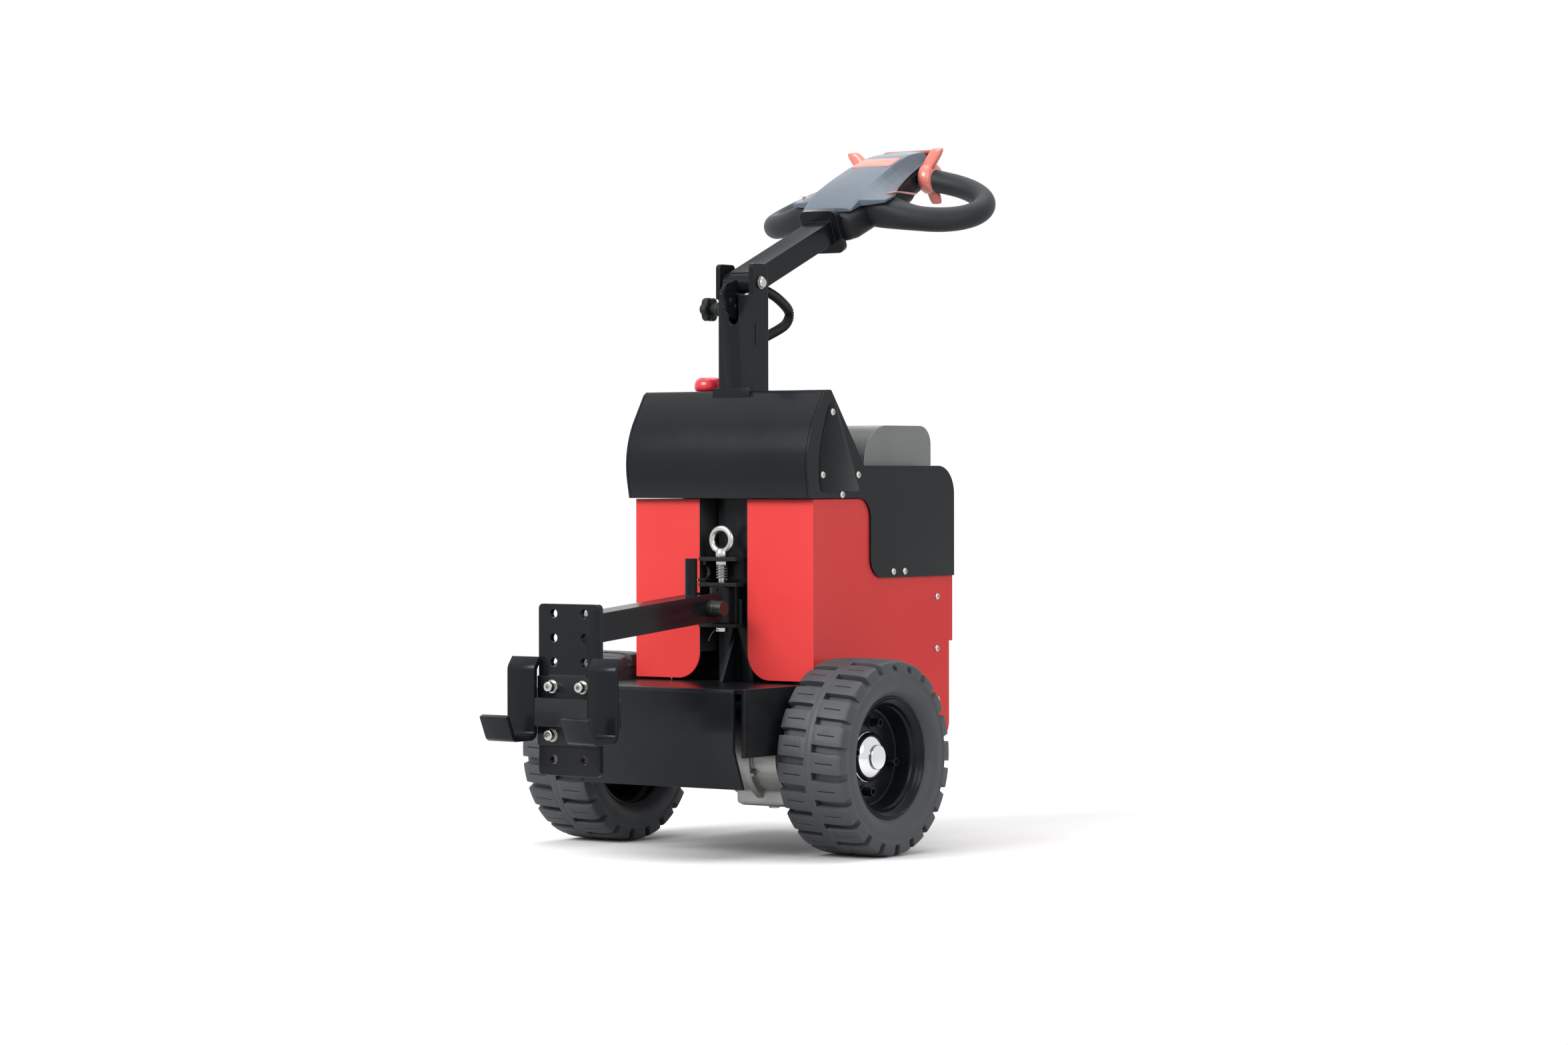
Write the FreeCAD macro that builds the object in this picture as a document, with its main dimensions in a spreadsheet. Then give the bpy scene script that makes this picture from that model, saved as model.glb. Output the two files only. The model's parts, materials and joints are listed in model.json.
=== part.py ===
"""Electric tow tractor, walk-behind, with a tilting tiller and a swinging twin-hook coupling.

Frame: millimetres, +Z up.  The origin is on the floor, midway between the drive wheels and under
their axle.  -Y points to the coupling, +Y to the operator's tiller, +X to the right-hand wheel.
"""
import FreeCAD, Part
import math
import os

import Sketcher

Vector = FreeCAD.Vector
Rotation = FreeCAD.Rotation

# ---------------------------------------------------------------- document and sheet of sizes

doc = FreeCAD.newDocument("TowTractor")
sheet = doc.addObject("Spreadsheet::Sheet", "Sizes")

SIZES = {
    # clearances
    "face_gap": 1, "running_gap": 0.05,
    # drive wheels
    "wheel_diameter": 250, "wheel_width": 100, "wheel_spacing": 412, "tread_flat": 60,
    "tread_crown": 3, "corner_set_in": 2, "shoulder_drop": 16, "sidewall_height": 32, "sidewall_set_in": 6,
    "rim_radius": 78, "rim_sheet": 6, "rim_lip": 4, "rim_flare": 8, "rim_width": 80, "dish_depth": 35,
    "disc_sheet": 5, "tread_rib": 5.5, "groove_width": 10, "groove_depth": 8,
    "groove_turn": 10, "groove_drop": 6.5,
    "disc_hole_radius": 32.5, "dome_radius": 31.5, "dome_length": 26, "dome_flat_radius": 13.5,
    "dome_proud": 17.5,
    # drive unit
    "axle_tube_radius": 26, "axle_tube_length": 284, "shaft_radius": 18, "case_radius": 57,
    "case_width": 86, "case_offset": 22, "motor_radius": 50, "motor_length": 122,
    "motor_offset": 22, "motor_rise": 12, "case_rib": 5,
    # chassis
    "deck_rise": 90, "deck_sheet": 6, "deck_width": 274, "deck_front": 172, "deck_length": 452,
    "apron_width": 252, "apron_height": 77, "apron_toe": 50, "apron_lean": 20,
    "flange_sheet": 5, "flange_drop": 86, "flange_set_back": 10,
    # painted body
    "body_gap": 3.5, "body_width": 286, "body_front": 22, "body_length": 319,
    "body_height": 233, "sheet_metal": 2, "recess_width": 77, "recess_depth": 72,
    "panel_corner": 35, "skirt_drop": 88, "skirt_front": 140, "skirt_inset": 8,
    "skirt_height": 131, "skirt_corner": 24,
    # hood, ledge and side plates
    "hood_height": 139, "hood_foot": 33, "hood_bulge": 46, "bulge_rise": 64,
    "bulge_round": 110, "hood_brow": 2, "brow_drop": 4, "hood_crown": 10, "hood_edge_round": 4,
    "hood_sheet": 3, "slope_reach": 74, "ledge_rise": 42, "side_plate": 3,
    "side_plate_drop": 146, "s_cut_place": 102, "s_cut_corner": 26, "side_plate_corner": 37,
    "console_width": 200, "console_depth": 44, "console_drop": 6,
    # rear cover box
    "cover_width": 240, "cover_set_back": 36, "cover_inset": 17, "cover_rise": 53,
    "cover_front_round": 52, "cover_rear_round": 25, "brim_drop": 17,
    # battery
    "battery_gap": 13, "battery_rise": 222,
    # column
    "column_width": 55, "column_depth": 36, "column_front": 4.5, "column_wall": 5,
    "column_rise": 124.5, "ear_height": 41, "ear_lap": 5, "ear_sheet": 7, "ear_offset": 5,
    "ear_round": 6, "pivot_rise": 16, "slot_width": 14.5, "slot_length": 38, "slot_offset": 3,
    "gusset_sheet": 6, "gusset_reach": 33, "collar_width": 62, "collar_sheet": 8,
    "collar_wrap": 0.2, "pin_radius": 6.5, "pin_overhang": 4, "stop_place": 70,
    "stop_base_radius": 12, "stop_cap_radius": 20, "stop_cap_height": 15,
    # tiller
    "tiller_angle": 22.8, "arm_width": 39, "arm_height": 30, "arm_length": 190,
    "barrel_radius": 13.5, "socket_size": 60, "socket_sheet": 10, "sector_radius": 49.5,
    "sector_sheet": 5, "sector_start": 175.5, "sector_sweep": 73.5, "sector_root": 33,
    "sector_hole_circle": 33.5, "sector_hole_radius": 3.5, "sector_hole_angle": 239.5,
    "sector_step": 20.9, "star_radius": 16.5, "star_length": 14, "plunger_radius": 6,
    "plunger_reach": 37, "plunger_nut": 10, "conduit_radius": 6.7, "gland_radius": 8.5,
    "gland_length": 18, "gland_place": 19.2, "gland_depth": 10.1, "gland_angle": 35.7,
    "entry_drop": 64.3, "entry_angle": 19.6, "entry_length": 15,
    # tiller head
    "head_length": 222, "base_width": 92, "base_drop": 30, "base_rise": 20, "base_round": 8,
    "nose_set_back": 12, "nose_width": 80, "nose_length": 23, "nose_height": 26,
    "notch_height": 33, "wing_width": 156, "wing_lean": 10, "wing_length": 21,
    "wing_run": 24, "crown_height": 44, "crown_place": 150, "tail_width": 74,
    "tail_height": 33, "arch_radius": 200, "cover_corner": 5, "button_sheet": 12,
    "button_width": 84, "button_height": 22, "label_width": 64, "label_length": 32,
    "label_place": 131, "label_sheet": 5, "grip_middle": 126, "grip_spread": 65,
    "grip_run": 88, "grip_bulge": 79, "grip_radius": 16.5, "grip_rear_radius": 13,
    "grip_droop": 15, "grip_root_height": 18, "knob_inset": 2, "knob_length": 35,
    "knob_radius": 17, "knob_wing": 32, "knob_sweep": 13, "knob_height": 3,
    "knob_axle_radius": 6,
    # hitch in the recess
    "shelf_rise": 71, "shelf_sheet": 5, "shelf_width": 60, "shelf_reach": 40.5,
    "hub_height": 47.6, "spring_height": 28, "rib_place": 24, "rib_round": 14,
    "kingpin_place": 25, "kingpin_radius": 3.5, "hub_radius": 16, "hub_bore_radius": 8,
    "lug_reach": 49, "lug_sheet": 16, "lug_radius": 12.5, "lift_rise": 21,
    "lift_pin_radius": 8, "lift_collar_radius": 11, "lift_collar": 9, "lift_end": 13,
    "lift_head": 4, "ring_radius": 14, "ring_wire": 3.8, "ring_neck": 10,
    "ring_neck_radius": 8.5, "ring_turn": 9, "nut_radius": 7.5, "nut_height": 5,
    "stop_rod_radius": 3, "stop_rod_height": 31, "stop_rod_place": 24, "stop_rod_inset": 17,
    # tow arm and coupling
    "tow_arm_angle": 4.7, "tow_arm_size": 36, "tow_arm_wall": 5, "tow_arm_tail": 21,
    "tow_arm_fork": 7, "coupling_reach": 258, "post_radius": 8, "post_height": 64,
    "post_place": 17, "coupling_sheet": 8, "coupling_width": 96, "coupling_height": 212,
    "coupling_head": 12, "coupling_round": 6, "hole_pitch": 30, "hole_columns": 48,
    "hole_margin": 12, "hole_radius": 5.5, "carrier_sheet": 3, "carrier_height": 86,
    "carrier_rise": 37, "strap_sheet": 6, "channel_height": 35, "channel_drop": 27,
    "hook_width": 43, "hook_spacing": 128, "hook_sheet": 7, "hook_rise": 43,
    "hook_height": 89, "hook_tip": 14.5, "hook_tip_angle": 35, "hook_reach": 41,
    "hook_lip": 35, "hook_lip_angle": 22,
    # caster
    "caster_inset": 75, "caster_trail": 34, "caster_diameter": 100, "caster_width": 36,
    "caster_height": 132, "caster_plate_width": 100, "caster_plate_length": 84,
    "caster_sheet": 5, "race_radius": 30, "race_height": 12, "fork_gap": 46,
    "fork_root": 16, "fork_foot": 12, "caster_bolt_radius": 5, "channel_overhang": 5,
    "tyre_round": 4, "boss_radius": 14, "boss_overhang": 3,
}

PLACES = {
    "axle_height": "wheel_diameter / 2",
    "deck_top": "axle_height + deck_rise",
    "deck_under": "deck_top - deck_sheet",
    "deck_rear": "deck_length - deck_front",
    "flange_low": "deck_top - flange_drop",
    "apron_crease": "deck_top - apron_height",
    "apron_low": "apron_crease - apron_toe",
    "body_low": "deck_top + body_gap",
    "body_top": "body_low + body_height",
    "body_rear": "body_length - body_front",
    "bulkhead_place": "recess_depth - body_front",
    "skirt_low": "body_low - skirt_drop",
    "skirt_rear": "body_rear - skirt_inset",
    "skirt_step": "skirt_low + skirt_height",
    "hood_low": "body_top + face_gap",
    "hood_top": "hood_low + hood_height",
    "hood_ridge": "2 * hood_brow + hood_crown",
    "slope_foot": "hood_ridge + slope_reach",
    "ledge_top": "hood_low + ledge_rise",
    "plate_low": "ledge_top - side_plate_drop",
    "cover_top": "ledge_top + cover_rise",
    "cover_front": "slope_foot + cover_set_back",
    "cover_rear": "body_rear - cover_inset",
    "brim_low": "ledge_top - brim_drop",
    "column_end": "hood_top + column_rise",
    "column_rear": "column_front + column_depth",
    "pivot_height": "column_end + pivot_rise",
    "pivot_place": "column_front + column_depth / 2 - 0.5 * face_gap",
    "slot_low": "column_end - slot_length",
    "cable_entry": "column_end - entry_drop",
    "plunger_place": "pivot_place + sector_hole_circle * cos(sector_hole_angle + tiller_angle)",
    "plunger_height": "pivot_height + sector_hole_circle * sin(sector_hole_angle + tiller_angle)",
    "low_shelf": "deck_top + shelf_rise",
    "low_shelf_top": "low_shelf + shelf_sheet",
    "middle_shelf": "low_shelf_top + hub_height",
    "middle_shelf_top": "middle_shelf + shelf_sheet",
    "high_shelf": "middle_shelf_top + spring_height",
    "high_shelf_top": "high_shelf + shelf_sheet",
    "shelf_front": "shelf_reach - column_front",
    "lift_place": "kingpin_place + lug_reach",
    "lift_height": "low_shelf_top + lift_rise",
    "plate_back": "lift_place + coupling_reach",
    "plate_face": "plate_back + coupling_sheet",
    "carrier_face": "plate_face + carrier_sheet",
    "strip_back": "carrier_face + strap_sheet",
    "strip_face": "strip_back + hook_sheet",
    "coupling_top": "lift_height + coupling_head",
    "coupling_low": "coupling_top - coupling_height",
    "hook_low": "coupling_low + hook_rise",
    "hook_bend": "hook_low + hook_height",
    "channel_low": "coupling_top - 5 * hole_pitch",
    "caster_place": "deck_rear - caster_inset",
    "caster_axle": "caster_place + caster_trail",
    "caster_middle": "caster_diameter / 2",
    "race_top": "caster_height - caster_sheet",
    "crown_top": "race_top - race_height / 2 - face_gap / 2",
    "head_start": "arm_length + socket_sheet",
    "head_end": "head_start + head_length",
    "grip_centre": "head_start + grip_middle",
    "knob_place": "grip_centre + grip_spread",
    "knob_start": "base_width / 2 + knob_inset",
    "knob_end": "knob_start + knob_length",
}

for row, (alias, number) in enumerate(SIZES.items(), start=1):
    sheet.set(f"A{row}", alias)
    sheet.set(f"B{row}", str(number))
    sheet.setAlias(f"B{row}", alias)
doc.recompute()


def expression(text):
    """Spell a formula of sizes and places the way the sheet's expressions want it."""
    words = []
    word = ""
    for letter in str(text) + " ":
        if letter.isalnum() or letter in "_.":
            word += letter
            continue
        if word in SIZES:
            word = "Sizes." + word
        elif word in PLACES:
            word = "(" + expression(PLACES[word]) + ")"
        words.append(word + letter)
        word = ""
    return "".join(words).strip()


def value(text):
    """The number that a formula of sizes and places gives now."""
    return float(sheet.evalExpression(expression(text)))


def bind(item, prop, text):
    item.setExpression(prop, expression(text))
    return item


def place(item, x, y, z):
    for axis, text in zip("xyz", (x, y, z)):
        bind(item, f"Placement.Base.{axis}", text)
    return item


# ---------------------------------------------------------------- shapes bound to the sheet

AXES = {"X": Rotation(Vector(0, 1, 0), 90), "Y": Rotation(Vector(1, 0, 0), -90), "Z": Rotation()}
ROLE = {"XY": "XY_Plane", "XZ": "XZ_Plane", "YZ": "YZ_Plane"}
SIDES = {"left": -1, "right": 1}


def box(name, x, y, z, width, depth, height):
    """A box from its low corner and its sizes along X, Y and Z."""
    item = doc.addObject("Part::Box", name)
    bind(item, "Length", width)
    bind(item, "Width", depth)
    bind(item, "Height", height)
    return place(item, x, y, z)


def centred_box(name, width, y, z, depth, height):
    """A box that is symmetrical about the middle plane."""
    return box(name, f"-({width}) / 2", y, z, width, depth, height)


def rod(name, axis, x, y, z, radius, length):
    """A cylinder that starts at a point and runs along +axis."""
    item = doc.addObject("Part::Cylinder", name)
    bind(item, "Radius", radius)
    bind(item, "Height", length)
    item.Placement.Rotation = AXES[axis]
    return place(item, x, y, z)


def tilted_rod(name, x, y, z, angle, radius, length):
    """A cylinder in the middle planes' direction that climbs at an angle towards +Y."""
    item = doc.addObject("Part::Cylinder", name)
    bind(item, "Radius", radius)
    bind(item, "Height", length)
    item.Placement.Rotation = Rotation(Vector(1, 0, 0), -10)
    bind(item, "Placement.Rotation.Angle", f"{angle} - 90")
    return place(item, x, y, z)


def hexagon(name, axis, x, y, z, radius, length):
    """A nut: a six-sided prism that starts at a point and runs along +axis."""
    item = doc.addObject("Part::Prism", name)
    item.Polygon = 6
    bind(item, "Circumradius", radius)
    bind(item, "Height", length)
    item.Placement.Rotation = AXES[axis]
    return place(item, x, y, z)


def fuse(name, items):
    item = doc.addObject("Part::MultiFuse", name)
    item.Shapes = items
    return item


def cut(name, base, tools):
    item = doc.addObject("Part::Cut", name)
    item.Base = base
    item.Tool = tools[0] if len(tools) == 1 else fuse(name + "_tools", tools)
    return item


def common(name, items):
    item = doc.addObject("Part::MultiCommon", name)
    item.Shapes = items
    return item


def profile_sketch(body, name, plane, points, start):
    """A closed outline on an origin plane, each corner held by two bound distances."""
    sketch = body.newObject("Sketcher::SketchObject", name)
    origin = next(item for item in body.Origin.OriginFeatures if item.Role == ROLE[plane])
    sketch.AttachmentSupport = (origin, [""])
    sketch.MapMode = "FlatFace"
    bind(sketch, "AttachmentOffset.Base.z", start)
    corners = [Vector(value(across), value(up), 0) for across, up in points]
    for index, corner in enumerate(corners):
        following = corners[(index + 1) % len(corners)]
        sketch.addGeometry(Part.LineSegment(corner, following), False)
    for index in range(len(corners)):
        following = (index + 1) % len(corners)
        sketch.addConstraint(Sketcher.Constraint("Coincident", index, 2, following, 1))
    for index, (across, up) in enumerate(points):
        for kind, text in (("DistanceX", across), ("DistanceY", up)):
            number = sketch.addConstraint(Sketcher.Constraint(kind, -1, 1, index, 1, value(text)))
            bind(sketch, f"Constraints[{number}]", text)
    return sketch


def edges_at(shape, plane, across, up):
    """Names of the straight edges that stand on a sketch plane at one corner."""
    found = []
    for number, edge in enumerate(shape.Edges, start=1):
        ends = [vertex.Point for vertex in edge.Vertexes]
        if plane == "YZ":
            places = [(end.y, end.z) for end in ends]
        elif plane == "XZ":
            places = [(end.x, end.z) for end in ends]
        else:
            places = [(end.x, end.y) for end in ends]
        if len(places) == 2 and all(math.dist(spot, (across, up)) < 0.01 for spot in places):
            found.append(f"Edge{number}")
    return found


def profile(name, plane, points, start, length, rounds=()):
    """A body padded from an outline.  rounds holds (corner numbers, radius) pairs."""
    body = doc.addObject("PartDesign::Body", name)
    sketch = profile_sketch(body, name + "_outline", plane, points, start)
    pad = body.newObject("PartDesign::Pad", name + "_pad")
    pad.Profile = sketch
    bind(pad, "Length", length)
    doc.recompute()
    for turn, (corners, radius) in enumerate(rounds):
        base = body.Tip
        edges = []
        for corner in corners:
            across, up = points[corner]
            edges += edges_at(base.Shape, plane, value(across), value(up))
        fillet = body.newObject("PartDesign::Fillet", f"{name}_round_{turn}")
        fillet.Base = (base, edges)
        bind(fillet, "Radius", radius)
        body.Tip = fillet
        doc.recompute()
    return body


def turned(name, points):
    """A body turned about the X axis from (along X, radius) corners."""
    body = doc.addObject("PartDesign::Body", name)
    sketch = profile_sketch(body, name + "_outline", "XY", points, "0")
    turn = body.newObject("PartDesign::Revolution", name + "_turn")
    turn.Profile = sketch
    turn.ReferenceAxis = (sketch, ["H_Axis"])
    turn.Angle = 360
    doc.recompute()
    return body


nodes = []


def node(name, item):
    """Keep an object as a named sub-part."""
    item.Label = name
    if item.Label != name:
        raise RuntimeError(f"{name} is already the label of another object")
    nodes.append(item)
    return item


def low_side(side, inner, thickness):
    """Low X corner of a plate whose inner face is a distance from the middle plane."""
    return f"({inner})" if side > 0 else f"-({inner}) - ({thickness})"


# ---------------------------------------------------------------- chassis

def chassis():
    """Bent sheet: leaning front apron, deck and rear wall, with a flange down each side."""
    strip = profile("chassis_strip", "YZ", [
        ("-deck_front", "deck_top"), ("-deck_front", "apron_crease"),
        ("-deck_front + apron_lean", "apron_low"),
        ("-deck_front + apron_lean + deck_sheet", "apron_low"),
        ("-deck_front + deck_sheet", "apron_crease"),
        ("-deck_front + deck_sheet", "deck_under"),
        ("deck_rear - deck_sheet", "deck_under"),
        ("deck_rear - deck_sheet", "flange_low"), ("deck_rear", "flange_low"),
        ("deck_rear", "deck_top")], "-apron_width / 2", "apron_width",
        [([0], "deck_sheet")])
    front = "-deck_front + flange_set_back"
    length = "deck_length - flange_set_back"
    pieces = [strip, centred_box("deck_sides", "deck_width", front, "deck_under", length,
                                 "deck_sheet")]
    for name, side in SIDES.items():
        low = low_side(side, "deck_width / 2 - flange_sheet", "flange_sheet")
        pieces.append(box(f"flange_{name}", low, front, "flange_low", "flange_sheet", length,
                          "flange_drop"))
    width = "caster_plate_width + 2 * channel_overhang"
    depth = "caster_plate_length + 2 * channel_overhang"
    channel = centred_box("caster_channel", width, f"caster_place - ({depth}) / 2",
                          "caster_height", depth, "deck_under - caster_height")
    tunnel = centred_box("channel_tunnel", f"{width} - 2 * caster_sheet",
                         f"caster_place - ({depth})", "caster_height + caster_sheet",
                         f"2 * ({depth})", "deck_under - caster_height - caster_sheet")
    pieces.append(cut("caster_seat", channel, [tunnel]))
    notch = rod("axle_notch", "X", "-deck_width", "0", "axle_height",
                "axle_tube_radius + face_gap / 2", "2 * deck_width")
    node("chassis_frame", cut("chassis_cut", fuse("chassis_solid", pieces), [notch]))


def side_skins():
    """Two painted panels, each folded round a front corner, and the panel behind."""
    outline = [
        ("-body_front", "body_low"), ("skirt_front", "body_low"),
        ("skirt_front", "skirt_low"), ("skirt_rear", "skirt_low"),
        ("skirt_rear", "skirt_step"), ("body_rear", "skirt_step"), ("body_rear", "body_top"),
        ("-body_front", "body_top")]
    for name, side in SIDES.items():
        low = low_side(side, "body_width / 2 - sheet_metal", "sheet_metal")
        flank = profile(f"flank_{name}", "YZ", outline, low, "sheet_metal",
                        [([2, 3], "skirt_corner")])
        inner, outer = "recess_width / 2", "body_width / 2 - sheet_metal / 2"
        front = profile(f"front_{name}", "XZ", [
            (f"{side} * {inner}", "body_low"), (f"{side} * ({outer})", "body_low"),
            (f"{side} * ({outer})", "body_top"), (f"{side} * {inner}", "body_top")],
            "body_front - sheet_metal", "sheet_metal", [([0], "panel_corner")])
        wall = box(f"recess_wall_{name}", low_side(side, inner, "sheet_metal"),
                   "-body_front + sheet_metal / 2", "body_low + panel_corner", "sheet_metal",
                   "recess_depth", "body_height - panel_corner")
        node(f"body_panel_{name}", fuse(f"body_skin_{name}", [flank, front, wall]))
    width = "body_width - 2 * sheet_metal - face_gap"
    node("rear_panel", centred_box("rear_sheet", width, "body_rear - sheet_metal",
                                   "skirt_step", "sheet_metal", "body_top - skirt_step"))
    node("bulkhead", centred_box("bulkhead_sheet", width, "bulkhead_place + sheet_metal",
                                 "deck_top", "sheet_metal", "body_top - deck_top"))


HOOD_OUTER = [
    ("-hood_foot", "hood_low"), ("-hood_bulge", "hood_low + bulge_rise"),
    ("-hood_brow", "hood_top - brow_drop"), ("2 * hood_brow", "hood_top"),
    ("hood_ridge", "hood_top")]


def hood_slope(across):
    """Height of the hood's rear slope at a place along Y."""
    fall = "(hood_height - ledge_rise) / slope_reach"
    return f"hood_top - ({across} - (hood_ridge)) * {fall}"


def hood():
    """Folded hood with a bulged front, pierced for the column and open underneath."""
    width = "body_width - face_gap"
    outer = profile("hood_skin", "YZ", HOOD_OUTER + [("slope_foot", "ledge_top"),
                    ("slope_foot", "hood_low")], f"-({width}) / 2", width,
                    [([1], "bulge_round"), ([3, 4], "hood_edge_round")])
    inner = profile("hood_hollow", "YZ", [
        ("-hood_foot + hood_sheet", "hood_low - hood_sheet"),
        ("-hood_foot + hood_sheet", "hood_low"),
        ("-hood_bulge + 1.1 * hood_sheet", "hood_low + bulge_rise - 0.2 * hood_sheet"),
        ("-hood_brow + 1.3 * hood_sheet", "hood_top - brow_drop - 1.2 * hood_sheet"),
        ("2 * hood_brow + 0.3 * hood_sheet", "hood_top - hood_sheet"),
        ("hood_ridge - 0.7 * hood_sheet", "hood_top - hood_sheet"),
        ("slope_foot - hood_sheet", "ledge_top"),
        ("slope_foot - hood_sheet", "hood_low - hood_sheet")],
        f"-({width}) / 2 - face_gap", f"{width} + 2 * face_gap",
        [([2], "bulge_round - hood_sheet")])
    node("hood", cut("hood_shell", outer, [inner, column_clearance("hood_opening")]))
    front = "hood_ridge + console_drop"
    rear, top = f"{front} + console_depth", "hood_top - console_drop"
    console = profile("console_box", "YZ", [
        (front, hood_slope(front)), (rear, hood_slope(rear)), (rear, top), (front, top)],
        "-console_width / 2", "console_width", [([2], "hood_edge_round")])
    node("control_console", cut("console_shell", console, [column_clearance("console_notch")]))


def column_clearance(name):
    """Opening for the column, one sheet wider than it all round."""
    return centred_box(name, "column_width + 2 * sheet_metal", "column_front - sheet_metal",
                       "hood_low", "column_depth + 2 * sheet_metal", "2 * hood_height")


def side_plates():
    """Black plates that close the hood's ends and run back along the top of the body."""
    for name, side in SIDES.items():
        low = low_side(side, "body_width / 2 + face_gap / 10", "side_plate")
        plate = profile(f"side_plate_{name}", "YZ", HOOD_OUTER + [
            ("slope_foot", "ledge_top"), ("body_rear", "ledge_top"),
            ("body_rear", "plate_low"), ("s_cut_place", "plate_low"),
            ("s_cut_place", "hood_low")], low, "side_plate",
            [([1], "bulge_round"), ([3, 4], "hood_edge_round"), ([6], "side_plate_corner"),
             ([8, 9], "s_cut_corner")])
        node(f"side_cover_{name}", plate)


def rear_cover():
    """Bare-metal box behind the hood, standing on a brim."""
    cover = profile("cover_box", "YZ", [
        ("cover_front", "brim_low"), ("cover_rear", "brim_low"), ("cover_rear", "cover_top"),
        ("cover_front", "cover_top")], "-cover_width / 2", "cover_width",
        [([3], "cover_front_round"), ([2], "cover_rear_round")])
    hollow = profile("cover_hollow", "YZ", [
        ("cover_front + sheet_metal", "brim_low - brim_drop"),
        ("cover_rear - sheet_metal", "brim_low - brim_drop"),
        ("cover_rear - sheet_metal", "cover_top - sheet_metal"),
        ("cover_front + sheet_metal", "cover_top - sheet_metal")],
        "-cover_width / 2 + sheet_metal", "cover_width - 2 * sheet_metal",
        [([3], "cover_front_round - sheet_metal"), ([2], "cover_rear_round - sheet_metal")])
    brim = centred_box("cover_brim", "body_width - face_gap", "slope_foot + face_gap",
                       "brim_low", "body_rear - slope_foot - 2 * face_gap", "sheet_metal")
    node("rear_cover", cut("cover_shell", fuse("cover_solid", [cover, brim]), [hollow]))


def battery():
    width = "body_width - 2 * (sheet_metal + battery_gap)"
    front = "bulkhead_place + 2 * sheet_metal + battery_gap"
    rear = "body_rear - sheet_metal - battery_gap"
    node("battery_block", centred_box("battery_case", width, front, "deck_top",
                                      f"{rear} - ({front})", "battery_rise"))


# ---------------------------------------------------------------- column and controls

def column():
    """Square tube from the deck to the tiller's pin, with two ears, a slot and a gusset."""
    tube = centred_box("column_tube", "column_width", "column_front", "deck_top",
                       "column_depth", "column_end - deck_top")
    bore = centred_box("column_bore", "column_width - 2 * column_wall",
                       "column_front + column_wall", "deck_top + column_wall",
                       "column_depth - 2 * column_wall", "column_end - deck_top")
    slot = box("column_slot", "-slot_offset - slot_width / 2", "column_front - face_gap",
               "slot_low + slot_width / 2", "slot_width", "column_depth + 2 * face_gap",
               "slot_length")
    slot_end = rod("column_slot_end", "Y", "-slot_offset", "column_front - face_gap",
                   "slot_low + slot_width / 2", "slot_width / 2",
                   "column_depth + 2 * face_gap")
    gusset = profile("column_gusset", "YZ", [
        ("column_front + face_gap", "deck_top"), ("column_front + face_gap", "low_shelf"),
        ("column_front", "low_shelf"), ("column_front - gusset_reach", "deck_top")],
        "-gusset_sheet / 2", "gusset_sheet")
    ears = []
    for name, outer in (("left", "-column_width / 2 - ear_offset"),
                        ("right", "column_width / 2 - ear_sheet")):
        ears.append(profile(f"ear_{name}", "YZ", [
            ("column_front + face_gap", "column_end - ear_lap"),
            ("column_rear - face_gap", "column_end - ear_lap"),
            ("column_rear - face_gap", "column_end + ear_height"),
            ("column_front + face_gap", "column_end + ear_height")], outer, "ear_sheet",
            [([2, 3], "ear_round")]))
    bores = rod("ear_bores", "X", "-column_width", "pivot_place", "pivot_height",
                "pin_radius + running_gap", "2 * column_width")
    plunger_bore = rod("plunger_bore", "X", "-column_width", "plunger_place",
                       "plunger_height", "sector_hole_radius + running_gap", "column_width")
    gland = tilted_rod("column_gland", "0", "column_rear - column_wall / 2", "cable_entry",
                       "entry_angle", "gland_radius", "entry_length")
    shell = cut("column_hollowed", tube, [bore, slot, slot_end])
    solid = fuse("column_solid", [shell, gusset, gland] + ears)
    node("column", cut("column_shell", solid, [bores, plunger_bore]))
    reach = "column_width + ear_offset + 2 * pin_overhang"
    node("tiller_pin", rod("tiller_pin_bar", "X", "-column_width / 2 - ear_offset - pin_overhang",
                           "pivot_place", "pivot_height", "pin_radius", reach))
    wrap_y = "-hood_brow - collar_wrap * (hood_bulge - hood_brow)"
    wrap_z = "hood_top - brow_drop - collar_wrap * (hood_height - brow_drop - bulge_rise)"
    collar = profile("collar_sheet_bent", "YZ", [
        ("column_front - face_gap / 2", "hood_top"),
        ("-hood_brow", "hood_top - brow_drop"), (wrap_y, wrap_z),
        (f"{wrap_y} - 0.85 * collar_sheet", f"{wrap_z} + 0.53 * collar_sheet"),
        ("-hood_brow - 0.7 * collar_sheet", "hood_top + 0.8 * collar_sheet"),
        ("column_front - face_gap / 2", "hood_top + collar_sheet")],
        "-collar_width / 2", "collar_width", [([4], "hood_edge_round")])
    node("column_collar", collar)


def controls():
    """Red stop button on the console, and the star knob of the column's index plunger."""
    middle = "hood_ridge + console_drop + console_depth / 2"
    base = rod("stop_base", "Z", "-stop_place", middle, "hood_top - console_drop",
               "stop_base_radius", "2 * console_drop")
    cap = rod("stop_cap", "Z", "-stop_place", middle, "hood_top + console_drop",
              "stop_cap_radius", "stop_cap_height")
    node("emergency_stop", fuse("stop_button", [base, cap]))
    wall = "column_width / 2"
    pin = rod("plunger_pin", "X", f"-{wall} - face_gap", "plunger_place", "plunger_height",
              "sector_hole_radius - running_gap", "column_wall + face_gap")
    nut = hexagon("plunger_nut", "X", f"-{wall} - plunger_nut", "plunger_place",
                  "plunger_height", "plunger_nut", "plunger_nut")
    stem = rod("plunger_stem", "X", f"-{wall} - plunger_reach", "plunger_place",
               "plunger_height", "plunger_radius", "plunger_reach")
    star = rod("plunger_star", "X", f"-{wall} - plunger_reach", "plunger_place",
               "plunger_height", "star_radius", "star_length")
    node("index_plunger", fuse("plunger_solid", [pin, nut, stem, star]))


# ---------------------------------------------------------------- tiller

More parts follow.
